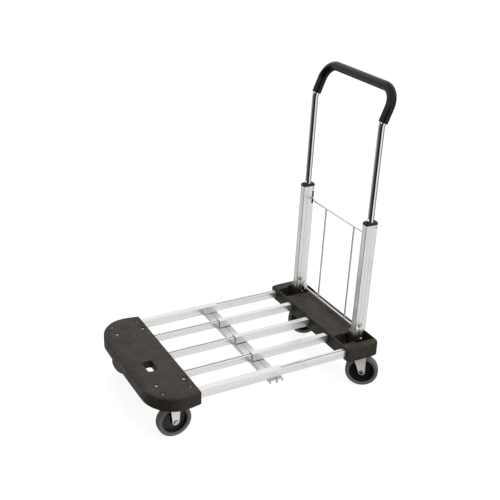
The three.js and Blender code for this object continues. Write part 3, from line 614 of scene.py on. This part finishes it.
def add_world():
    """White all round for the camera and soft light, with dark flags for reflections."""
    world = bpy.data.worlds.new("studio")
    bpy.context.scene.world = world
    world.use_nodes = True
    nodes, links = world.node_tree.nodes, world.node_tree.links
    nodes.clear()

    def math_node(operation, *values):
        node = nodes.new("ShaderNodeMath")
        node.operation = operation
        for socket, value in zip(node.inputs, values):
            if isinstance(value, (int, float)):
                socket.default_value = value
            else:
                links.new(value, socket)
        return node.outputs[0]

    def flat_sum(operation, *shares):
        return math_node(operation, *[math_node("MULTIPLY", *pair) for pair in zip((x, y), shares)])

    def colour_ramp(source, stops):
        node = nodes.new("ShaderNodeValToRGB")
        links.new(source, node.inputs[0])
        elements = node.color_ramp.elements
        while len(elements) < len(stops):
            elements.new(0.5)
        for element, (place, colour) in zip(elements, stops):
            element.position, element.color = place, colour
        return node.outputs

    def warmed(value):
        warm = 0.86 if value < 0.25 else 0.99
        return value, value * warm, value * warm * warm, 1

    def background(colour, strength=1.0):
        node = nodes.new("ShaderNodeBackground")
        if isinstance(colour, tuple):
            node.inputs["Color"].default_value = colour
        else:
            links.new(colour, node.inputs["Color"])
        node.inputs["Strength"].default_value = strength
        return node.outputs[0]

    def choose(test, otherwise, chosen):
        node = nodes.new("ShaderNodeMixShader")
        for socket, value in zip(node.inputs, (test, otherwise, chosen)):
            links.new(value, socket)
        return node.outputs[0]

    split = nodes.new("ShaderNodeSeparateXYZ")
    links.new(nodes.new("ShaderNodeTexCoord").outputs["Generated"], split.inputs[0])
    x, y, z = split.outputs

    # azimuth about the photograph's viewing side, as a share of a full turn
    a = CAMERA["azimuth"]
    forward = flat_sum("SUBTRACT", math.sin(a), math.cos(a))
    rightward = flat_sum("ADD", math.cos(a), math.sin(a))
    turn = math_node("DIVIDE", math_node("ARCTAN2", rightward, forward), math.pi)
    around = math_node("MULTIPLY_ADD", turn, 0.5, 0.5)
    cards = colour_ramp(around, [(place, warmed(value)) for place, value in CARDS])
    sky = colour_ramp(z, [(height, (value, value, value, share)) for height, share, value in SKY])
    seen = nodes.new("ShaderNodeMix")
    seen.data_type = "RGBA"
    links.new(sky["Alpha"], seen.inputs["Factor"])
    links.new(cards["Color"], seen.inputs["A"])
    links.new(sky["Color"], seen.inputs["B"])

    # soft light for matt faces: stronger from above, from +X and from +Y
    soft = nodes.new("ShaderNodeMapRange")
    for socket, value in zip(soft.inputs[1:5], (-0.6, 0.9, 0.22, 1.15)):
        socket.default_value = value
    links.new(z, soft.inputs["Value"])
    sideways = math_node("MULTIPLY_ADD", x, 0.35, math_node("MULTIPLY_ADD", y, 0.25, 0.85))
    light = background(math_node("MULTIPLY", soft.outputs[0], sideways))

    ray = nodes.new("ShaderNodeLightPath").outputs
    shown = choose(ray["Is Glossy Ray"], light, background(seen.outputs["Result"]))
    shown = choose(ray["Is Camera Ray"], shown, background((1, 1, 1, 1), 1.02))
    links.new(shown, nodes.new("ShaderNodeOutputWorld").inputs["Surface"])


add_camera()
add_lamp("key", (2.4, 0.6, 2.6), (0, 0, 0.3), (1.4, 1.4), 26)
add_lamp("top", (-0.6, 0.2, 3.0), (0, 0, 0.2), (2.0, 2.0), 34)
add_floor()
add_world()
bpy.context.scene.view_settings.view_transform = "Standard"

# ---- deck housings ------------------------------------------------------------------

DECK_TOP = FRONT_HI.z
SKIN = 4
WALL = 5
CASTER_X = JOINT["front_wheel_spin_right"]["pos_m"][0] / MM
FRONT_CASTER_Y = JOINT["front_wheel_spin_right"]["pos_m"][1] / MM
REAR_CASTER_Y = JOINT["caster_swivel_right"]["pos_m"][1] / MM
PLATE_TOP = box("front_fork_right")[1].z
SCREW_X, SCREW_Y = 21.5, 40.3
OUTER_X, MIDDLE_X = 204.9, (-106.4, 0, 106.4)
OVER = DECK_TOP + 2


def bezier(points, count):
    """Points along a Bezier curve, without its last one."""
    out = []
    for i in range(count):
        row = [Vector(p) for p in points]
        t = i / count
        while len(row) > 1:
            row = [a.lerp(b, t) for a, b in zip(row, row[1:])]
        out.append(row[0])
    return out


def front_curve():
    """The front housing's plan from its left rear corner, round the nose, to the right one."""
    edge, nose = FRONT_HI.y, FRONT_LO.y
    wide, wide_y, rear_half = FRONT_HI.x, -288, 227
    flat, bow = 148, 1.4
    left = bezier([(-rear_half, edge), (-(wide - 1), (edge + wide_y) / 2), (-wide, wide_y)], 8)
    corner = [(-wide, wide_y), (-wide, wide_y - 46), (-(flat + 44), nose + 6), (-flat, nose + bow)]
    left += bezier(corner, 26)
    front = bezier([(-flat, nose + bow), (0, nose - bow), (flat, nose + bow)], 30)
    return left + front + [Vector((flat, nose + bow))] + mirror(left)


def shoulder(p):
    """How broad and how deep the soft shoulder is at a point of the plan."""
    t = max(0.0, min(1.0, (190 - abs(p.x)) / 70))
    t = t * t * (3 - 2 * t) if p.y < -330 else 0.0
    return 8 + 15 * t, 7 + 8 * t


def front_loft(inward, top, bottom, foot):
    """The front housing's outside, or its hollow, from (height, inset) foot rings to the top."""
    curve = front_curve()
    clean = [curve[0]]
    for p in curve[1:]:
        if (p - clean[-1]).length > 0.2:
            clean.append(p)
    normals = []
    for i, p in enumerate(clean):
        ahead = clean[min(i + 1, len(clean) - 1)] - clean[max(i - 1, 0)]
        normals.append(Vector((-ahead.y, ahead.x)).normalized())
    edge_fillet = 1.8

    def ring(height, share, extra=0.0):
        loop = []
        for p, n in zip(clean, normals):
            broad, deep = shoulder(p)
            d = inward + extra + broad * share
            q = p + n * d
            q.y = min(q.y, FRONT_HI.y - inward - extra - edge_fillet * share)
            loop.append(Vector((q.x, q.y, top - deep * (1 - height))))
        return loop

    def level(z, extra):
        return [Vector((v.x, v.y, z)) for v in ring(0, 0, extra)]

    rings = [level(bottom + z, d) for z, d in foot]
    end = math.radians(80)
    for k in range(9):
        t = end * k / 8
        rings.append(ring(math.sin(t) / math.sin(end), (1 - math.cos(t)) / (1 - math.cos(end))))
    return loft([[r] for r in rings])


def socket(x, section, y):
    """Opening for a deck tube, from the tube's own box with a little clearance."""
    lo, hi = section
    half = (hi.x - lo.x) / 2 + 0.5
    return prism(rect((x - half, x + half), (lo.z - 0.5, hi.z + 0.5), 1.6), y, "y")


def deck_sockets(outer, middle, wall):
    """The openings for the two outer and the three middle tubes in one wall."""
    out = [socket(side * OUTER_X, box(outer), wall) for side in (-1, 1)]
    return out + [socket(x, box(middle), wall) for x in MIDDLE_X]


def front_housing():
    base = FRONT_LO.z
    body = front_loft(0, DECK_TOP, base, [(0, 1.6), (0.5, 0.7), (1.6, 0.1), (3, 0)])
    places = [
        (side * CASTER_X + dx * SCREW_X, FRONT_CASTER_Y + dy * SCREW_Y)
        for side in (-1, 1) for dx in (-1, 1) for dy in (-1, 1)
    ]
    slot_x, slot_y = (25.5, 78.5), (-326.4, -297.8)
    around = [(lo - 4, hi + 4) for lo, hi in (slot_x, slot_y)]
    collar = prism(rect(*around, 8), (DECK_TOP - 24, OVER), fillet=0.6)
    pillars = [prism(disc(x, y, 9, 24), (PLATE_TOP + 0.3, OVER), fillet=0.6) for x, y in places]
    ribs_z = (128, OVER)
    ribs = [prism(rect((x - 1, x + 1), (-380, -264)), ribs_z) for x in (-105, -52, 0, 105)]
    ribs += [prism(rect((-240, 240), (y - 1, y + 1)), ribs_z) for y in (-352, -276)]
    core = make_object("operand", [front_loft(WALL, DECK_TOP - SKIN, base - 6, [(0, 0)])])
    boolean(core, [("DIFFERENCE", [collar, *pillars, *ribs])])
    wall = (FRONT_HI.y - WALL - 2, FRONT_HI.y + 2)
    sockets = deck_sockets("outer_sleeve_right", "front_rail_centre", wall)
    recess = []
    for x, y in places:
        recess.append(flared(disc(x, y, 5.8, 32), DECK_TOP - 4.8, DECK_TOP, 0.7))
        recess.append(prism(disc(x, y, 3.6, 20), (base - 2, DECK_TOP + 1)))
    slot = flared(rect(slot_x, slot_y, 6, 6), base - 2, DECK_TOP, 2.2)
    carve = [("DIFFERENCE", [core, *recess, *sockets, slot])]
    piece("front_housing", [body], HOUSING, carve=carve)


def both_sides(x, y, bottom, top, r, flare=0.0):
    """A cutter on the right side and its mirror image on the left."""
    plan = rect(x, y, r, 6)
    if flare:
        return [flared(side, bottom, top, flare) for side in (plan, mirror(plan))]
    return [prism(side, (bottom, top)) for side in (plan, mirror(plan))]


def rear_housing():
    edge, back, wide, top, base = REAR_LO.y, REAR_HI.y, REAR_HI.x, REAR_HI.z, REAR_LO.z
    corner, half = 28, 224
    right = bezier([(half, edge), (wide, edge + 15), (wide, edge + 45)], 8)
    right += bezier([(wide, back - corner), (wide, back), (wide - corner, back)], 12)
    right.append(Vector((wide - corner, back)))
    plan = right + mirror(right)
    lip = 5
    stations = [(base, 0.8), (base + 0.8, 0.1), (base + 2, 0)]
    stations += [(top - lip + lip * math.sin(t), lip * (1 - math.cos(t))) for t in quarter(5)]
    body = prism(plan, (base, top), stations=stations)
    low = base - 2
    shelf_half, shelf_y, shelf_z = 138, 331, 155
    hollow_x = (-132, 132)
    inside = (edge + WALL, back - WALL)
    hollows = [
        prism(rect(hollow_x, (inside[0], shelf_y - WALL), 3), (low, top - WALL)),
        prism(rect(hollow_x, inside, 3), (low, shelf_z - WALL)),
    ]
    shelf = prism(rect((-shelf_half, shelf_half), (shelf_y, back + 9), 5), (shelf_z, top + CLEAR))
    bay_x, bay_y, bay_floor = (140, 200), (279.5, 345.5), 126
    pocket_x, pocket_y, sill = (137, 192), (240.8, 276), 134
    bays = both_sides(bay_x, bay_y, bay_floor, top, [2, 3, 7, 6], 1.2)
    pockets = both_sides(pocket_x, pocket_y, low, top, [6, 7, 3, 2], 1.2)
    gates = both_sides((bay_x[0], pocket_x[1]), (274, 281.5), sill, top + CLEAR, 0)
    side_x = wide - SKIN - 1
    sides = both_sides((204, side_x), (inside[0], back - corner), low, top - WALL, 2)
    sides += both_sides((195, side_x), (inside[0], 268.5), low, top - WALL, 2)
    plate_x, plate_y = (CASTER_X - 52, CASTER_X + 52), (REAR_CASTER_Y - 34, REAR_CASTER_Y + 34)
    plates = both_sides(plate_x, plate_y, low, PLATE_TOP + 0.3, 4)
    wall = (edge - 2, edge + WALL + 2)
    sockets = deck_sockets("rear_rail_right", "middle_sleeve_centre", wall)
    marks = [
        flared(rect((3, 17), (309.5, 313.5), 1.9), top - 2.4, top, 0.5),
        flared(rect((-114, -100), (289, 293), 1.9), top - 2.4, top, 0.5),
    ]
    ribs_z = (129, shelf_z - 2)
    ribs = [prism(rect((x - 1, x + 1), (edge + 2, back - 3)), ribs_z) for x in (-53, 53)]
    ribs.append(prism(rect((-134, 134), (300, 302)), ribs_z))
    carve = [
        ("DIFFERENCE", [shelf, *hollows]),
        ("UNION", ribs),
        ("DIFFERENCE", [*sides, *plates, *bays, *pockets, *sockets, *gates, *marks]),
    ]
    piece("rear_housing", [body], HOUSING, carve=carve)


front_housing()
rear_housing()

# ---- telescoping deck ---------------------------------------------------------------


def deck_sleeve(node):
    """A larger deck tube. The middle ones have a thin black ring in the mouth, a dark part that
    paints the shadow in the gap between sleeve and rail.
    """
    lo, hi = box(node)
    wall = 1.6
    outline = rect((lo.x, hi.x), (lo.z, hi.z), 1.3)
    bore = rect((lo.x + wall, hi.x - wall), (lo.z + wall, hi.z - wall), 0.5)
    mouth = 0.0 if node.startswith("outer") else 1.2
    part = prism(outline, (lo.y + mouth, hi.y), "y", [bore], fillet=0.3)
    piece(node, [part], ALONG_DECK)
    if mouth:
        # painted shadow: a thin black ring stands where the sleeve mouth shows only a dark gap round
        # the rail
        span = (lo.y, lo.y + mouth)
        ring = prism(inset(outline, 0.15), span, "y", [inset(bore, 0.1)], fillet=0.2)
        shade_ring = make_object(f"{node}_mouth_shade_ring", [ring])
        shade(shade_ring)
        shade_ring.data.materials.append(BLACK)
        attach(shade_ring, BODY[node])


def deck_rail(node):
    """A smaller deck tube with a groove along its top, whose faces are painted darker as shade."""
    lo, hi = box(node)
    x, half, deep, wall = (lo.x + hi.x) / 2, 1.8, 1.7, 1.5
    corners = [
        (lo.x, lo.z), (hi.x, lo.z), (hi.x, hi.z), (x + half, hi.z), (x + half, hi.z - deep),
        (x - half, hi.z - deep), (x - half, hi.z), (lo.x, hi.z),
    ]
    outline = rounded(corners, [1.1, 1.1, 1.1, 0.5, 0.25, 0.25, 0.5, 1.1], 3)
    bore = rect((lo.x + wall, hi.x - wall), (lo.z + wall, hi.z - wall - deep), 0.5)
    part = prism(outline, (lo.y, hi.y), "y", [bore], fillet=0.3)
    rail = piece(node, [part], ALONG_DECK)
    rail.data.materials.append(GROOVE_SHADE)
    for face in rail.data.polygons:
        spot = face.center / MM
        if abs(spot.x - x) < half and hi.z - deep - 0.3 < spot.z < hi.z - 0.4:
            face.material_index = 1


def rivet(x, y, z):
    """A rivet head that hangs under a face."""
    r, height = 3.4, 1.8
    profile = [(0, 0.3), (r, 0.3)] + [(r * math.cos(t), -height * math.sin(t)) for t in quarter(5)]
    return lathe(profile, "z", (x, y, z), 24)


def crossbar(node, rivets_x):
    """An open-bottomed channel across the deck, with rivets under its web."""
    lo, hi = box(node)
    wall = 1.8
    corners = [
        (lo.y, lo.z), (lo.y + wall, lo.z), (lo.y + wall, hi.z - wall), (hi.y - wall, hi.z - wall),
        (hi.y - wall, lo.z), (hi.y, lo.z), (hi.y, hi.z), (lo.y, hi.z),
    ]
    section = rounded(corners, [0.5, 0.5, 0.6, 0.6, 0.5, 0.5, 2.0, 2.0], 4)
    parts = [prism(section, (lo.x, hi.x), "x", fillet=0.3)]
    y = (lo.y + hi.y) / 2
    parts += [rivet(x, y, hi.z - wall) for x in rivets_x]
    piece(node, parts, ALONG_BAR)


for side, _ in SIDES:
    deck_sleeve(f"outer_sleeve_{side}")
    deck_rail(f"rear_rail_{side}")
for place in ("left", "centre", "right"):
    deck_sleeve(f"middle_sleeve_{place}")
    deck_rail(f"front_rail_{place}")
crossbar("rear_crossbar", MIDDLE_X)
crossbar("front_crossbar", (-OUTER_X, OUTER_X))

# ---- casters ------------------------------------------------------------------------

WHEEL_R = 50
LEG = (14.5, 17)
AXLE_R = 4


def arc_points(cx, cy, r, start, end, steps):
    turns = [math.radians(start + (end - start) * k / steps) for k in range(steps + 1)]
    return [(cx + r * math.cos(t), cy + r * math.sin(t)) for t in turns]


def wheel(end, side, y, matrix):
    """Tyre, hub and axle bolt around the local X axis."""
    turned = {"axis": "x", "at": (0, y, WHEEL_R)}
    half, crown = 12.5, 4.5
    edge = arc_points(WHEEL_R - 0.5 - crown, half - crown, crown, 90, 8, 6)
    outer = [(38.4, half - 1.6), (41, half - 1.1), (41.6, half - 0.4), *edge]
    profile = [*outer, (WHEEL_R, 0), *[(r, -h) for r, h in reversed(outer)]]
    piece(f"{end}_tyre_{side}", [lathe(profile, sides=96, **turned)], RUBBER, matrix)
    face = [
        (AXLE_R + 0.6, 13.6), (AXLE_R + 1, 14), (10, 14), (10.8, 13.4), (11.4, 5.2), (12.2, 4.2),
        (24.4, 3.4), (25.2, 4.6), (26.4, 4.8), (27.2, 3.4), (32.6, 3.2), (33.4, 4), (34.2, 10.6),
        (34.8, 11), (37.4, 11), (38, 10.4),
    ]
    rim = [*face, *[(r, -h) for r, h in reversed(face)]]
    piece(f"{end}_hub_{side}", [lathe(rim, sides=96, **turned)], BLACK, matrix)
    pin = [(0, -21.6), (3.4, -21.6), (AXLE_R, -21), (AXLE_R, 21), (3.4, 21.6), (0, 21.6)]
    parts = [lathe(pin, sides=24, **turned)]
    for sign in (-1, 1):
        washer = prism(disc(y, WHEEL_R, 7, 32), (sign * 17.3, sign * 18.2), "x", fillet=0.25)
        thick = (18.2, 21.6) if sign < 0 else (18.2, 21)
        head = prism(disc(y, WHEEL_R, 6.4, 6, 0.3), [sign * t for t in thick], "x", fillet=0.7)
        parts += [washer, head]
    piece(f"{end}_axle_{side}", parts, SHADE_DARK_ZINC, matrix)


def fork_legs(outline, y):
    """Two pressed legs: a sheet with a raised rim along its edges and an axle hole."""
    parts = []
    hole = disc(y, WHEEL_R, AXLE_R + 0.6, 24)
    for sign in (-1, 1):
        sheet = (sign * LEG[0], sign * (LEG[1] - 0.7))
        rim = (sign * (LEG[0] + 1), sign * LEG[1])
        parts.append(prism(outline, sheet, "x", [hole], fillet=0.4))
        parts.append(prism(outline, rim, "x", [inset(outline, 2.6)[::-1]], fillet=0.35))
    return parts


def leg_outline(top_from, top_to, axle_y, top_z):
    """A fork leg seen from the side: straight edges down to a round end about the axle."""
    lean, end_r = 0.18, 9.8
    points = [(top_to, top_z), (top_from, top_z)]
    points.append((axle_y - end_r * math.cos(lean), WHEEL_R + 1))
    points += arc_points(axle_y, WHEEL_R, end_r, 180 + math.degrees(lean), 360, 18)
    points = [Vector(p) for p in points]
    return points if area(points) > 0 else points[::-1]


def caster_plate(half_x, half_y, holes=()):
    plan = rect((-half_x, half_x), (-half_y, half_y), 6)
    holes = [disc(x, y, 3.6, 20) for x, y in holes]
    return prism(plan, (118.5, PLATE_TOP), "z", holes, fillet=0.5)


def front_caster(side, sign):
    matrix = Matrix.Translation((sign * CASTER_X, FRONT_CASTER_Y, 0))
    holes = [(dx * SCREW_X, dy * SCREW_Y) for dx in (-1, 1) for dy in (-1, 1)]
    parts = [caster_plate(30, 50, holes), *fork_legs(leg_outline(-17.5, 17.5, 0, 119.3), 0)]
    parts += [prism(rect((way * 11, way * 15.6), (-17, 17), 1), (117.3, 119)) for way in (-1, 1)]
    piece(f"front_fork_{side}", parts, ZINC, matrix)
    wheel("front", side, 0, matrix)


def rear_caster(side, sign):
    fixed = Matrix.Translation((sign * CASTER_X, REAR_CASTER_Y, 0))
    corners = [(dx * 40, dy * 21) for dx in (-1, 1) for dy in (-1, 1)]
    race = [(0, 116), (22.5, 118.6), (23, 117.4), (22.4, 115), (21, 113.4), (19, 113), (0, 113)]
    pin = [(0, 105.7), (7.6, 105.7), (9, 106.8), (9, 109.7), (5.3, 109.7), (5.3, 114), (0, 114)]
    parts = [caster_plate(50, 30), lathe(race), lathe(pin)]
    parts += [prism(disc(x, y, 5.6, 6), (114.9, 118.7), fillet=0.6) for x, y in corners]
    piece(f"rear_caster_plate_{side}", parts, ZINC, fixed)
    turned = fixed @ Matrix.Rotation(SWIVEL, 4, "Z")
    trail = 28.5
    outline = leg_outline(-5, 38, trail, 111.6)
    hole = disc(0, 0, 5.6, 32)
    crown = prism(rect((-17, 17), (-21, 38), 5), (110, 112.7), "z", [hole], fillet=0.5)
    dish = [(5.6, 110), (23.4, 110), (24, 110.6), (24, 112), (23.2, 112.7), (5.6, 112.7)]
    parts = [crown, lathe(dish), *fork_legs(outline, trail)]
    piece(f"swivel_fork_{side}", parts, ZINC, turned)
    wheel("rear", side, trail, turned)


def head_profile(seat, r, crown, height):
    """The section of a domed head that stands on its seat."""
    rim = 0.9
    arc = [math.radians(t) for t in (20, 40, 60, 80)]
    curve = [(r * math.cos(t), seat + rim + crown * math.sin(t)) for t in arc]
    return [(0, seat), (r, seat), (r, seat + rim), *curve, (0, seat + height)]


def caster_screw(node):
    """Round head with a cross recess, over a shank and a hex nut."""
    middle = centre(node)
    seat, nut_top = DECK_TOP - 4.5, 118.2
    parts = [
        lathe(head_profile(seat, 4.8, 1.9, 2.82), sides=32),
        prism(disc(0, 0, 5, 6), (nut_top - 4.6, nut_top), fillet=0.5),
        prism(disc(0, 0, 3, 20), (nut_top - 5, seat + 0.5), fillet=0.3),
    ]
    long, short, recess = (-2.9, 2.9), (-0.6, 0.6), (seat + 1.4, seat + 4)
    cross = [prism(rect(x, y, 0.3), recess) for x, y in ((long, short), (short, long))]
    turn = Matrix.Rotation(middle.x * 0.37, 4, "Z")
    matrix = Matrix.Translation((middle.x, middle.y, 0)) @ turn
    piece(node, parts, SCREW_ZINC, matrix, [("DIFFERENCE", cross)])


for side, sign in SIDES:
    front_caster(side, sign)
    rear_caster(side, sign)
    for row in ("front", "rear"):
        for line in ("inner", "outer"):
            caster_screw(f"{row}_{line}_screw_{side}")

# ---- mast brackets ------------------------------------------------------------------


def mast_bracket(side, sign):
    """Two cheeks on a foot plate, with a front web whose top edge is torn to a profile."""
    lo, _ = box(f"mast_bracket_{side}")
    foot, inner, outer = lo.z, 11.5, 13.5
    cheeks = ((-outer, -inner), (inner, outer))
    y0, y1, arch = 289, 315, arc_points(PIVOT.y, PIVOT.z, 11, 0, 180, 20)
    outline = [Vector(p) for p in [(y0, foot), (y1, foot), (y1, 178), *arch, (y0, 178)]]
    holes = [
        disc(PIVOT.y, PIVOT.z, 4.6, 24),
        disc(310, 155.5, 4.1, 20),
        rect((PIVOT.y - 2, PIVOT.y + 2), (166, 190), 1.9),
    ]
    parts = [prism(outline, x, "x", holes, fillet=0.45) for x in cheeks]
    parts.append(prism(rect((-24, 24), (283, 334), 4), (foot, foot + 2.5), fillet=0.5))
    web = [
        (-outer, foot), (outer, foot), (outer, 179), (11, 188), (6, 185), (2, 181.5), (-2, 184),
        (-6, 181), (-11, 188), (-outer, 179),
    ]
    web = rounded(web, [0, 0, 1, 1.5, 1, 1, 1, 1, 1.5, 1], 3)
    parts.append(prism(web, (283.2, 285.2), "y", fillet=0.4))
    parts += [prism(rect(x, (284, 290)), (foot, 176)) for x in cheeks]
    place = Matrix.Translation((sign * MAST_X, 0, 0))
    piece(f"mast_bracket_{side}", parts, BRACKET_ZINC, place)


def cross_bolt(node, r, head_r):
    """A bolt across the bracket: a domed head on one side and a hex nut on the other."""
    middle = centre(node)
    outward = 1 if middle.x > 0 else -1
    seat, proud = 13.8, 3.6
    end = seat + proud
    pin = [(0, -seat - 1), (r, -seat - 1), (r, seat + 3), (r - 0.6, end), (0, end)]
    head = head_profile(seat, head_r, proud - 0.9, proud)
    nut = (-outward * (seat + 0.8), -outward * (seat + 3.4))
    washer = (-outward * seat, -outward * (seat + 0.9))
    parts = [
        lathe(pin, "x"),
        lathe([(a, outward * b) for a, b in head], "x", sides=40),
        prism(disc(0, 0, head_r * 0.93, 6, 0.2), nut, "x", fillet=0.5),
        prism(disc(0, 0, head_r, 32), washer, "x", fillet=0.2),
    ]
    piece(node, parts, SHADE_DARK_ZINC, Matrix.Translation(middle))


MAST_X = 167.7
for side, sign in SIDES:
    mast_bracket(side, sign)
    cross_bolt(f"pivot_bolt_{side}", 4, 7.5)
    cross_bolt(f"bracket_bolt_{side}", 3.5, 6)

# ---- masts, in the leaning frame: u rearwards and v up from the pivot ----------------

MAST_U, MAST_WIDE, MAST_DEEP = 6.1, 21.8, 38.3
MAST_V = (-25, 316.7)
WIRE_U = 20.3
TUBE_R = 9.3
GRIP_R = 13.5
CAP_HIGH = 8.3


def on_mast(sign, v=0):
    return LEANING @ Matrix.Translation((sign * MAST_X, 0, v))


def mast(side, sign):
    """A rectangular tube with two fine grooves along each side and a slot for the wire."""
    half, deep = MAST_WIDE / 2, MAST_DEEP / 2
    u0, u1 = MAST_U - deep, MAST_U + deep
    groove, cut, wall = 0.7, 0.22, 1.3
    right = [(half, u0)]
    for u in (MAST_U - 6.4, MAST_U + 6.4):
        right += [(half, u - groove), (half - cut, u - groove / 2)]
        right += [(half - cut, u + groove / 2), (half, u + groove)]
    right.append((half, u1))
    radii = [1.6, *[0] * 8, 1.6]
    outline = rounded(right + mirror(right), radii + radii)
    bore = rect((-half + wall, half - wall), (u0 + wall, u1 - wall), 0.5)
    part = prism(outline, MAST_V, "z", [bore], fillet=0.3)
    reach = (-half - 2, half + 2)
    inner = sorted((-sign * (half - 3), -sign * (half + 2)))
    cuts = [
        prism(disc(0, 0, 4.6, 24), reach, "x"),
        prism(disc(WIRE_U - 1, 309.5, 2.2, 20), reach, "x"),
        prism(rect((WIRE_U - 3.2, WIRE_U + 3.2), (258.9, 301.4), 2.6), inner, "x"),
    ]
    carve = [("DIFFERENCE", cuts)]
    piece(f"mast_{side}", [part], ALONG_MAST, on_mast(sign), carve)


def mast_cap(side, sign):
    """A chamfered cap with a round hole for the handle and a keyway for the snap button."""
    half_x, half_u, c = MAST_WIDE / 2 + 2.4, MAST_DEEP / 2 + 2.4, 6
    v = (MAST_V[1] + 0.3, MAST_V[1] + CAP_HIGH)
    corners = [
        (-half_x + c, -half_u), (half_x - c, -half_u), (half_x, -half_u + c), (half_x, half_u - c),
        (half_x - c, half_u), (-half_x + c, half_u), (-half_x, half_u - c), (-half_x, -half_u + c),
    ]
    plan = [p + Vector((0, MAST_U)) for p in rounded(corners, 1.2, 3)]
    key, r = 4.7, TUBE_R + 0.3
    start = math.degrees(math.asin(key / r))
    hole = arc_points(0, MAST_U, r, -90 + start, 270 - start, 40)
    hole += [(-key, MAST_U - TUBE_R - 5), (key, MAST_U - TUBE_R - 5)]
    steps = ((0, 0.6), (0.6, 0), (4.4, 0), (4.9, 0.4), (5.1, 1.2), (6.6, 1.6))
    stations = [(v[0] + height, d) for height, d in steps] + [(v[1], 3.0)]
    hole = prism([Vector(p) for p in hole], (v[0] - 1, v[1] + 1))
    parts, carve = [prism(plan, v, "z", stations=stations)], [("DIFFERENCE", [hole])]
    piece(f"mast_cap_{side}", parts, BLACK, on_mast(sign), carve)


BUTTON_R = 4
BUTTON_V = MAST_V[1] + CAP_HIGH + 0.6 + BUTTON_R


def handle_line(only_grip):
    """Centre line of the handle, from one foot or grip end to the other."""
    turn, arm, bend_v, foot_v = 0.372, 100.8, 604.6, 256
    top = (MAST_U + arm * math.sin(turn), bend_v + arm * math.cos(turn))
    foot, knee = Vector((MAST_X, MAST_U, foot_v)), Vector((MAST_X, MAST_U, bend_v))
    corner, middle = Vector((MAST_X, *top)), Vector((0, *top))
    bent = bend(foot, knee, corner, 40, 8)
    half = [bent[-1]] if only_grip else [foot, *bent]
    half += bend(knee, corner, middle, 50, 18)
    return half + [Vector((-p.x, p.y, p.z)) for p in reversed(half)]


def handle():
    span = (MAST_U - TUBE_R - 2, MAST_U - 2)
    cut = prism(disc(0, BUTTON_V, BUTTON_R + 0.3, 24), span, "y")
    carve = [("DIFFERENCE", [shifted(cut, x) for x in (-MAST_X, MAST_X)])]
    parts = [tube(handle_line(False), TUBE_R, 40, TUBE_R - 1.5, 0.4)]
    piece("handle_tube", parts, CHROME, LEANING, carve)
    parts = [tube(handle_line(True), GRIP_R, 40, TUBE_R + 0.5, 1.4)]
    piece("handle_grip", parts, FOAM, LEANING)


def snap_button(side, sign):
    face, flange = MAST_U - TUBE_R - 4, MAST_U - 5.5
    arc = [math.radians(t) for t in (90, 70, 50, 30, 10)]
    profile = [(BUTTON_R * math.cos(t), face + 2.4 - 2.4 * math.sin(t)) for t in arc]
    profile += [(BUTTON_R, face + 3), (BUTTON_R, flange), (4.6, flange)]
    profile += [(4.6, flange + 1.2), (0, flange + 1.2)]
    parts = [lathe(profile, "y", sides=32)]
    piece(f"snap_button_{side}", parts, ZINC, on_mast(sign, BUTTON_V))


# ---- release frame ------------------------------------------------------------------

WIRE_R = 2.8
WIRE_TOP, WIRE_FOOT, WIRE_DIP = 277.6, -35.6, 7


def bead(x, v):
    """A weld bead where two wires meet."""
    r, arc = 3.1, [math.pi * k / 8 for k in range(9)]
    return lathe([(r * math.sin(t), -r * math.cos(t)) for t in arc], "z", (x, WIRE_U, v), 20)


def release_frame():
    """Top wire with cranked ends, bottom wire and two uprights."""
    low = WIRE_TOP - WIRE_DIP
    corners = ((166, WIRE_TOP), (152, WIRE_TOP), (141, low), (0, low))
    ends = [Vector((x, WIRE_U, v)) for x, v in corners]
    half = [ends[0], *bend(*ends[:3], 6, 5), *bend(*ends[1:], 6, 5)]
    line = half + [Vector((-p.x, p.y, p.z)) for p in reversed(half)]
    foot = [(-156, WIRE_U, WIRE_FOOT), (156, WIRE_U, WIRE_FOOT)]
    parts = [tube(line, WIRE_R, ends=0.8), tube(foot, WIRE_R, ends=0.8)]
    for x in (-75, 75):
        parts.append(tube([(x, WIRE_U, WIRE_FOOT), (x, WIRE_U, low)], WIRE_R))
        parts += [bead(x, WIRE_FOOT), bead(x, low)]
    piece("release_wire_frame", parts, NICKEL, LEANING)


def latch_claw(side, sign):
    u, v = WIRE_U, WIRE_FOOT
    outline = [(u + 6, v), (u + 4, v + 15), *arc_points(u - 4, v + 16, 6.5, 0, 180, 12)]
    outline += [(u - 10.5, v + 8), (u - 6, v + 8), (u - 6, v), *arc_points(u, v, 6, 190, 350, 10)]
    outline = [Vector(p) for p in outline]
    hole = disc(u, v, WIRE_R + 0.6, 20)
    parts = [prism(outline, (sign * 150, sign * 152.4), "x", [hole], fillet=0.35)]
    piece(f"latch_claw_{side}", parts, ZINC, LEANING)


def release_spring(side, sign):
    wire, r, turns, per_turn, x = 0.45, 2.2, 6, 18, sign * 162.3
    lo, hi = WIRE_TOP + WIRE_R + wire + 0.3, MAST_V[1] - wire - 0.3
    line = []
    for i in range(turns * per_turn + 1):
        a, v = 2 * math.pi * i / per_turn, lo + (hi - lo) * (i / (turns * per_turn))
        line.append(Vector((x + r * math.cos(a), WIRE_U + r * math.sin(a), v)))
    piece(f"release_spring_{side}", [tube(line, wire, 8)], SPRING, LEANING)


handle()
release_frame()
for side, sign in SIDES:
    mast(side, sign)
    mast_cap(side, sign)
    snap_button(side, sign)
    latch_claw(side, sign)
    release_spring(side, sign)
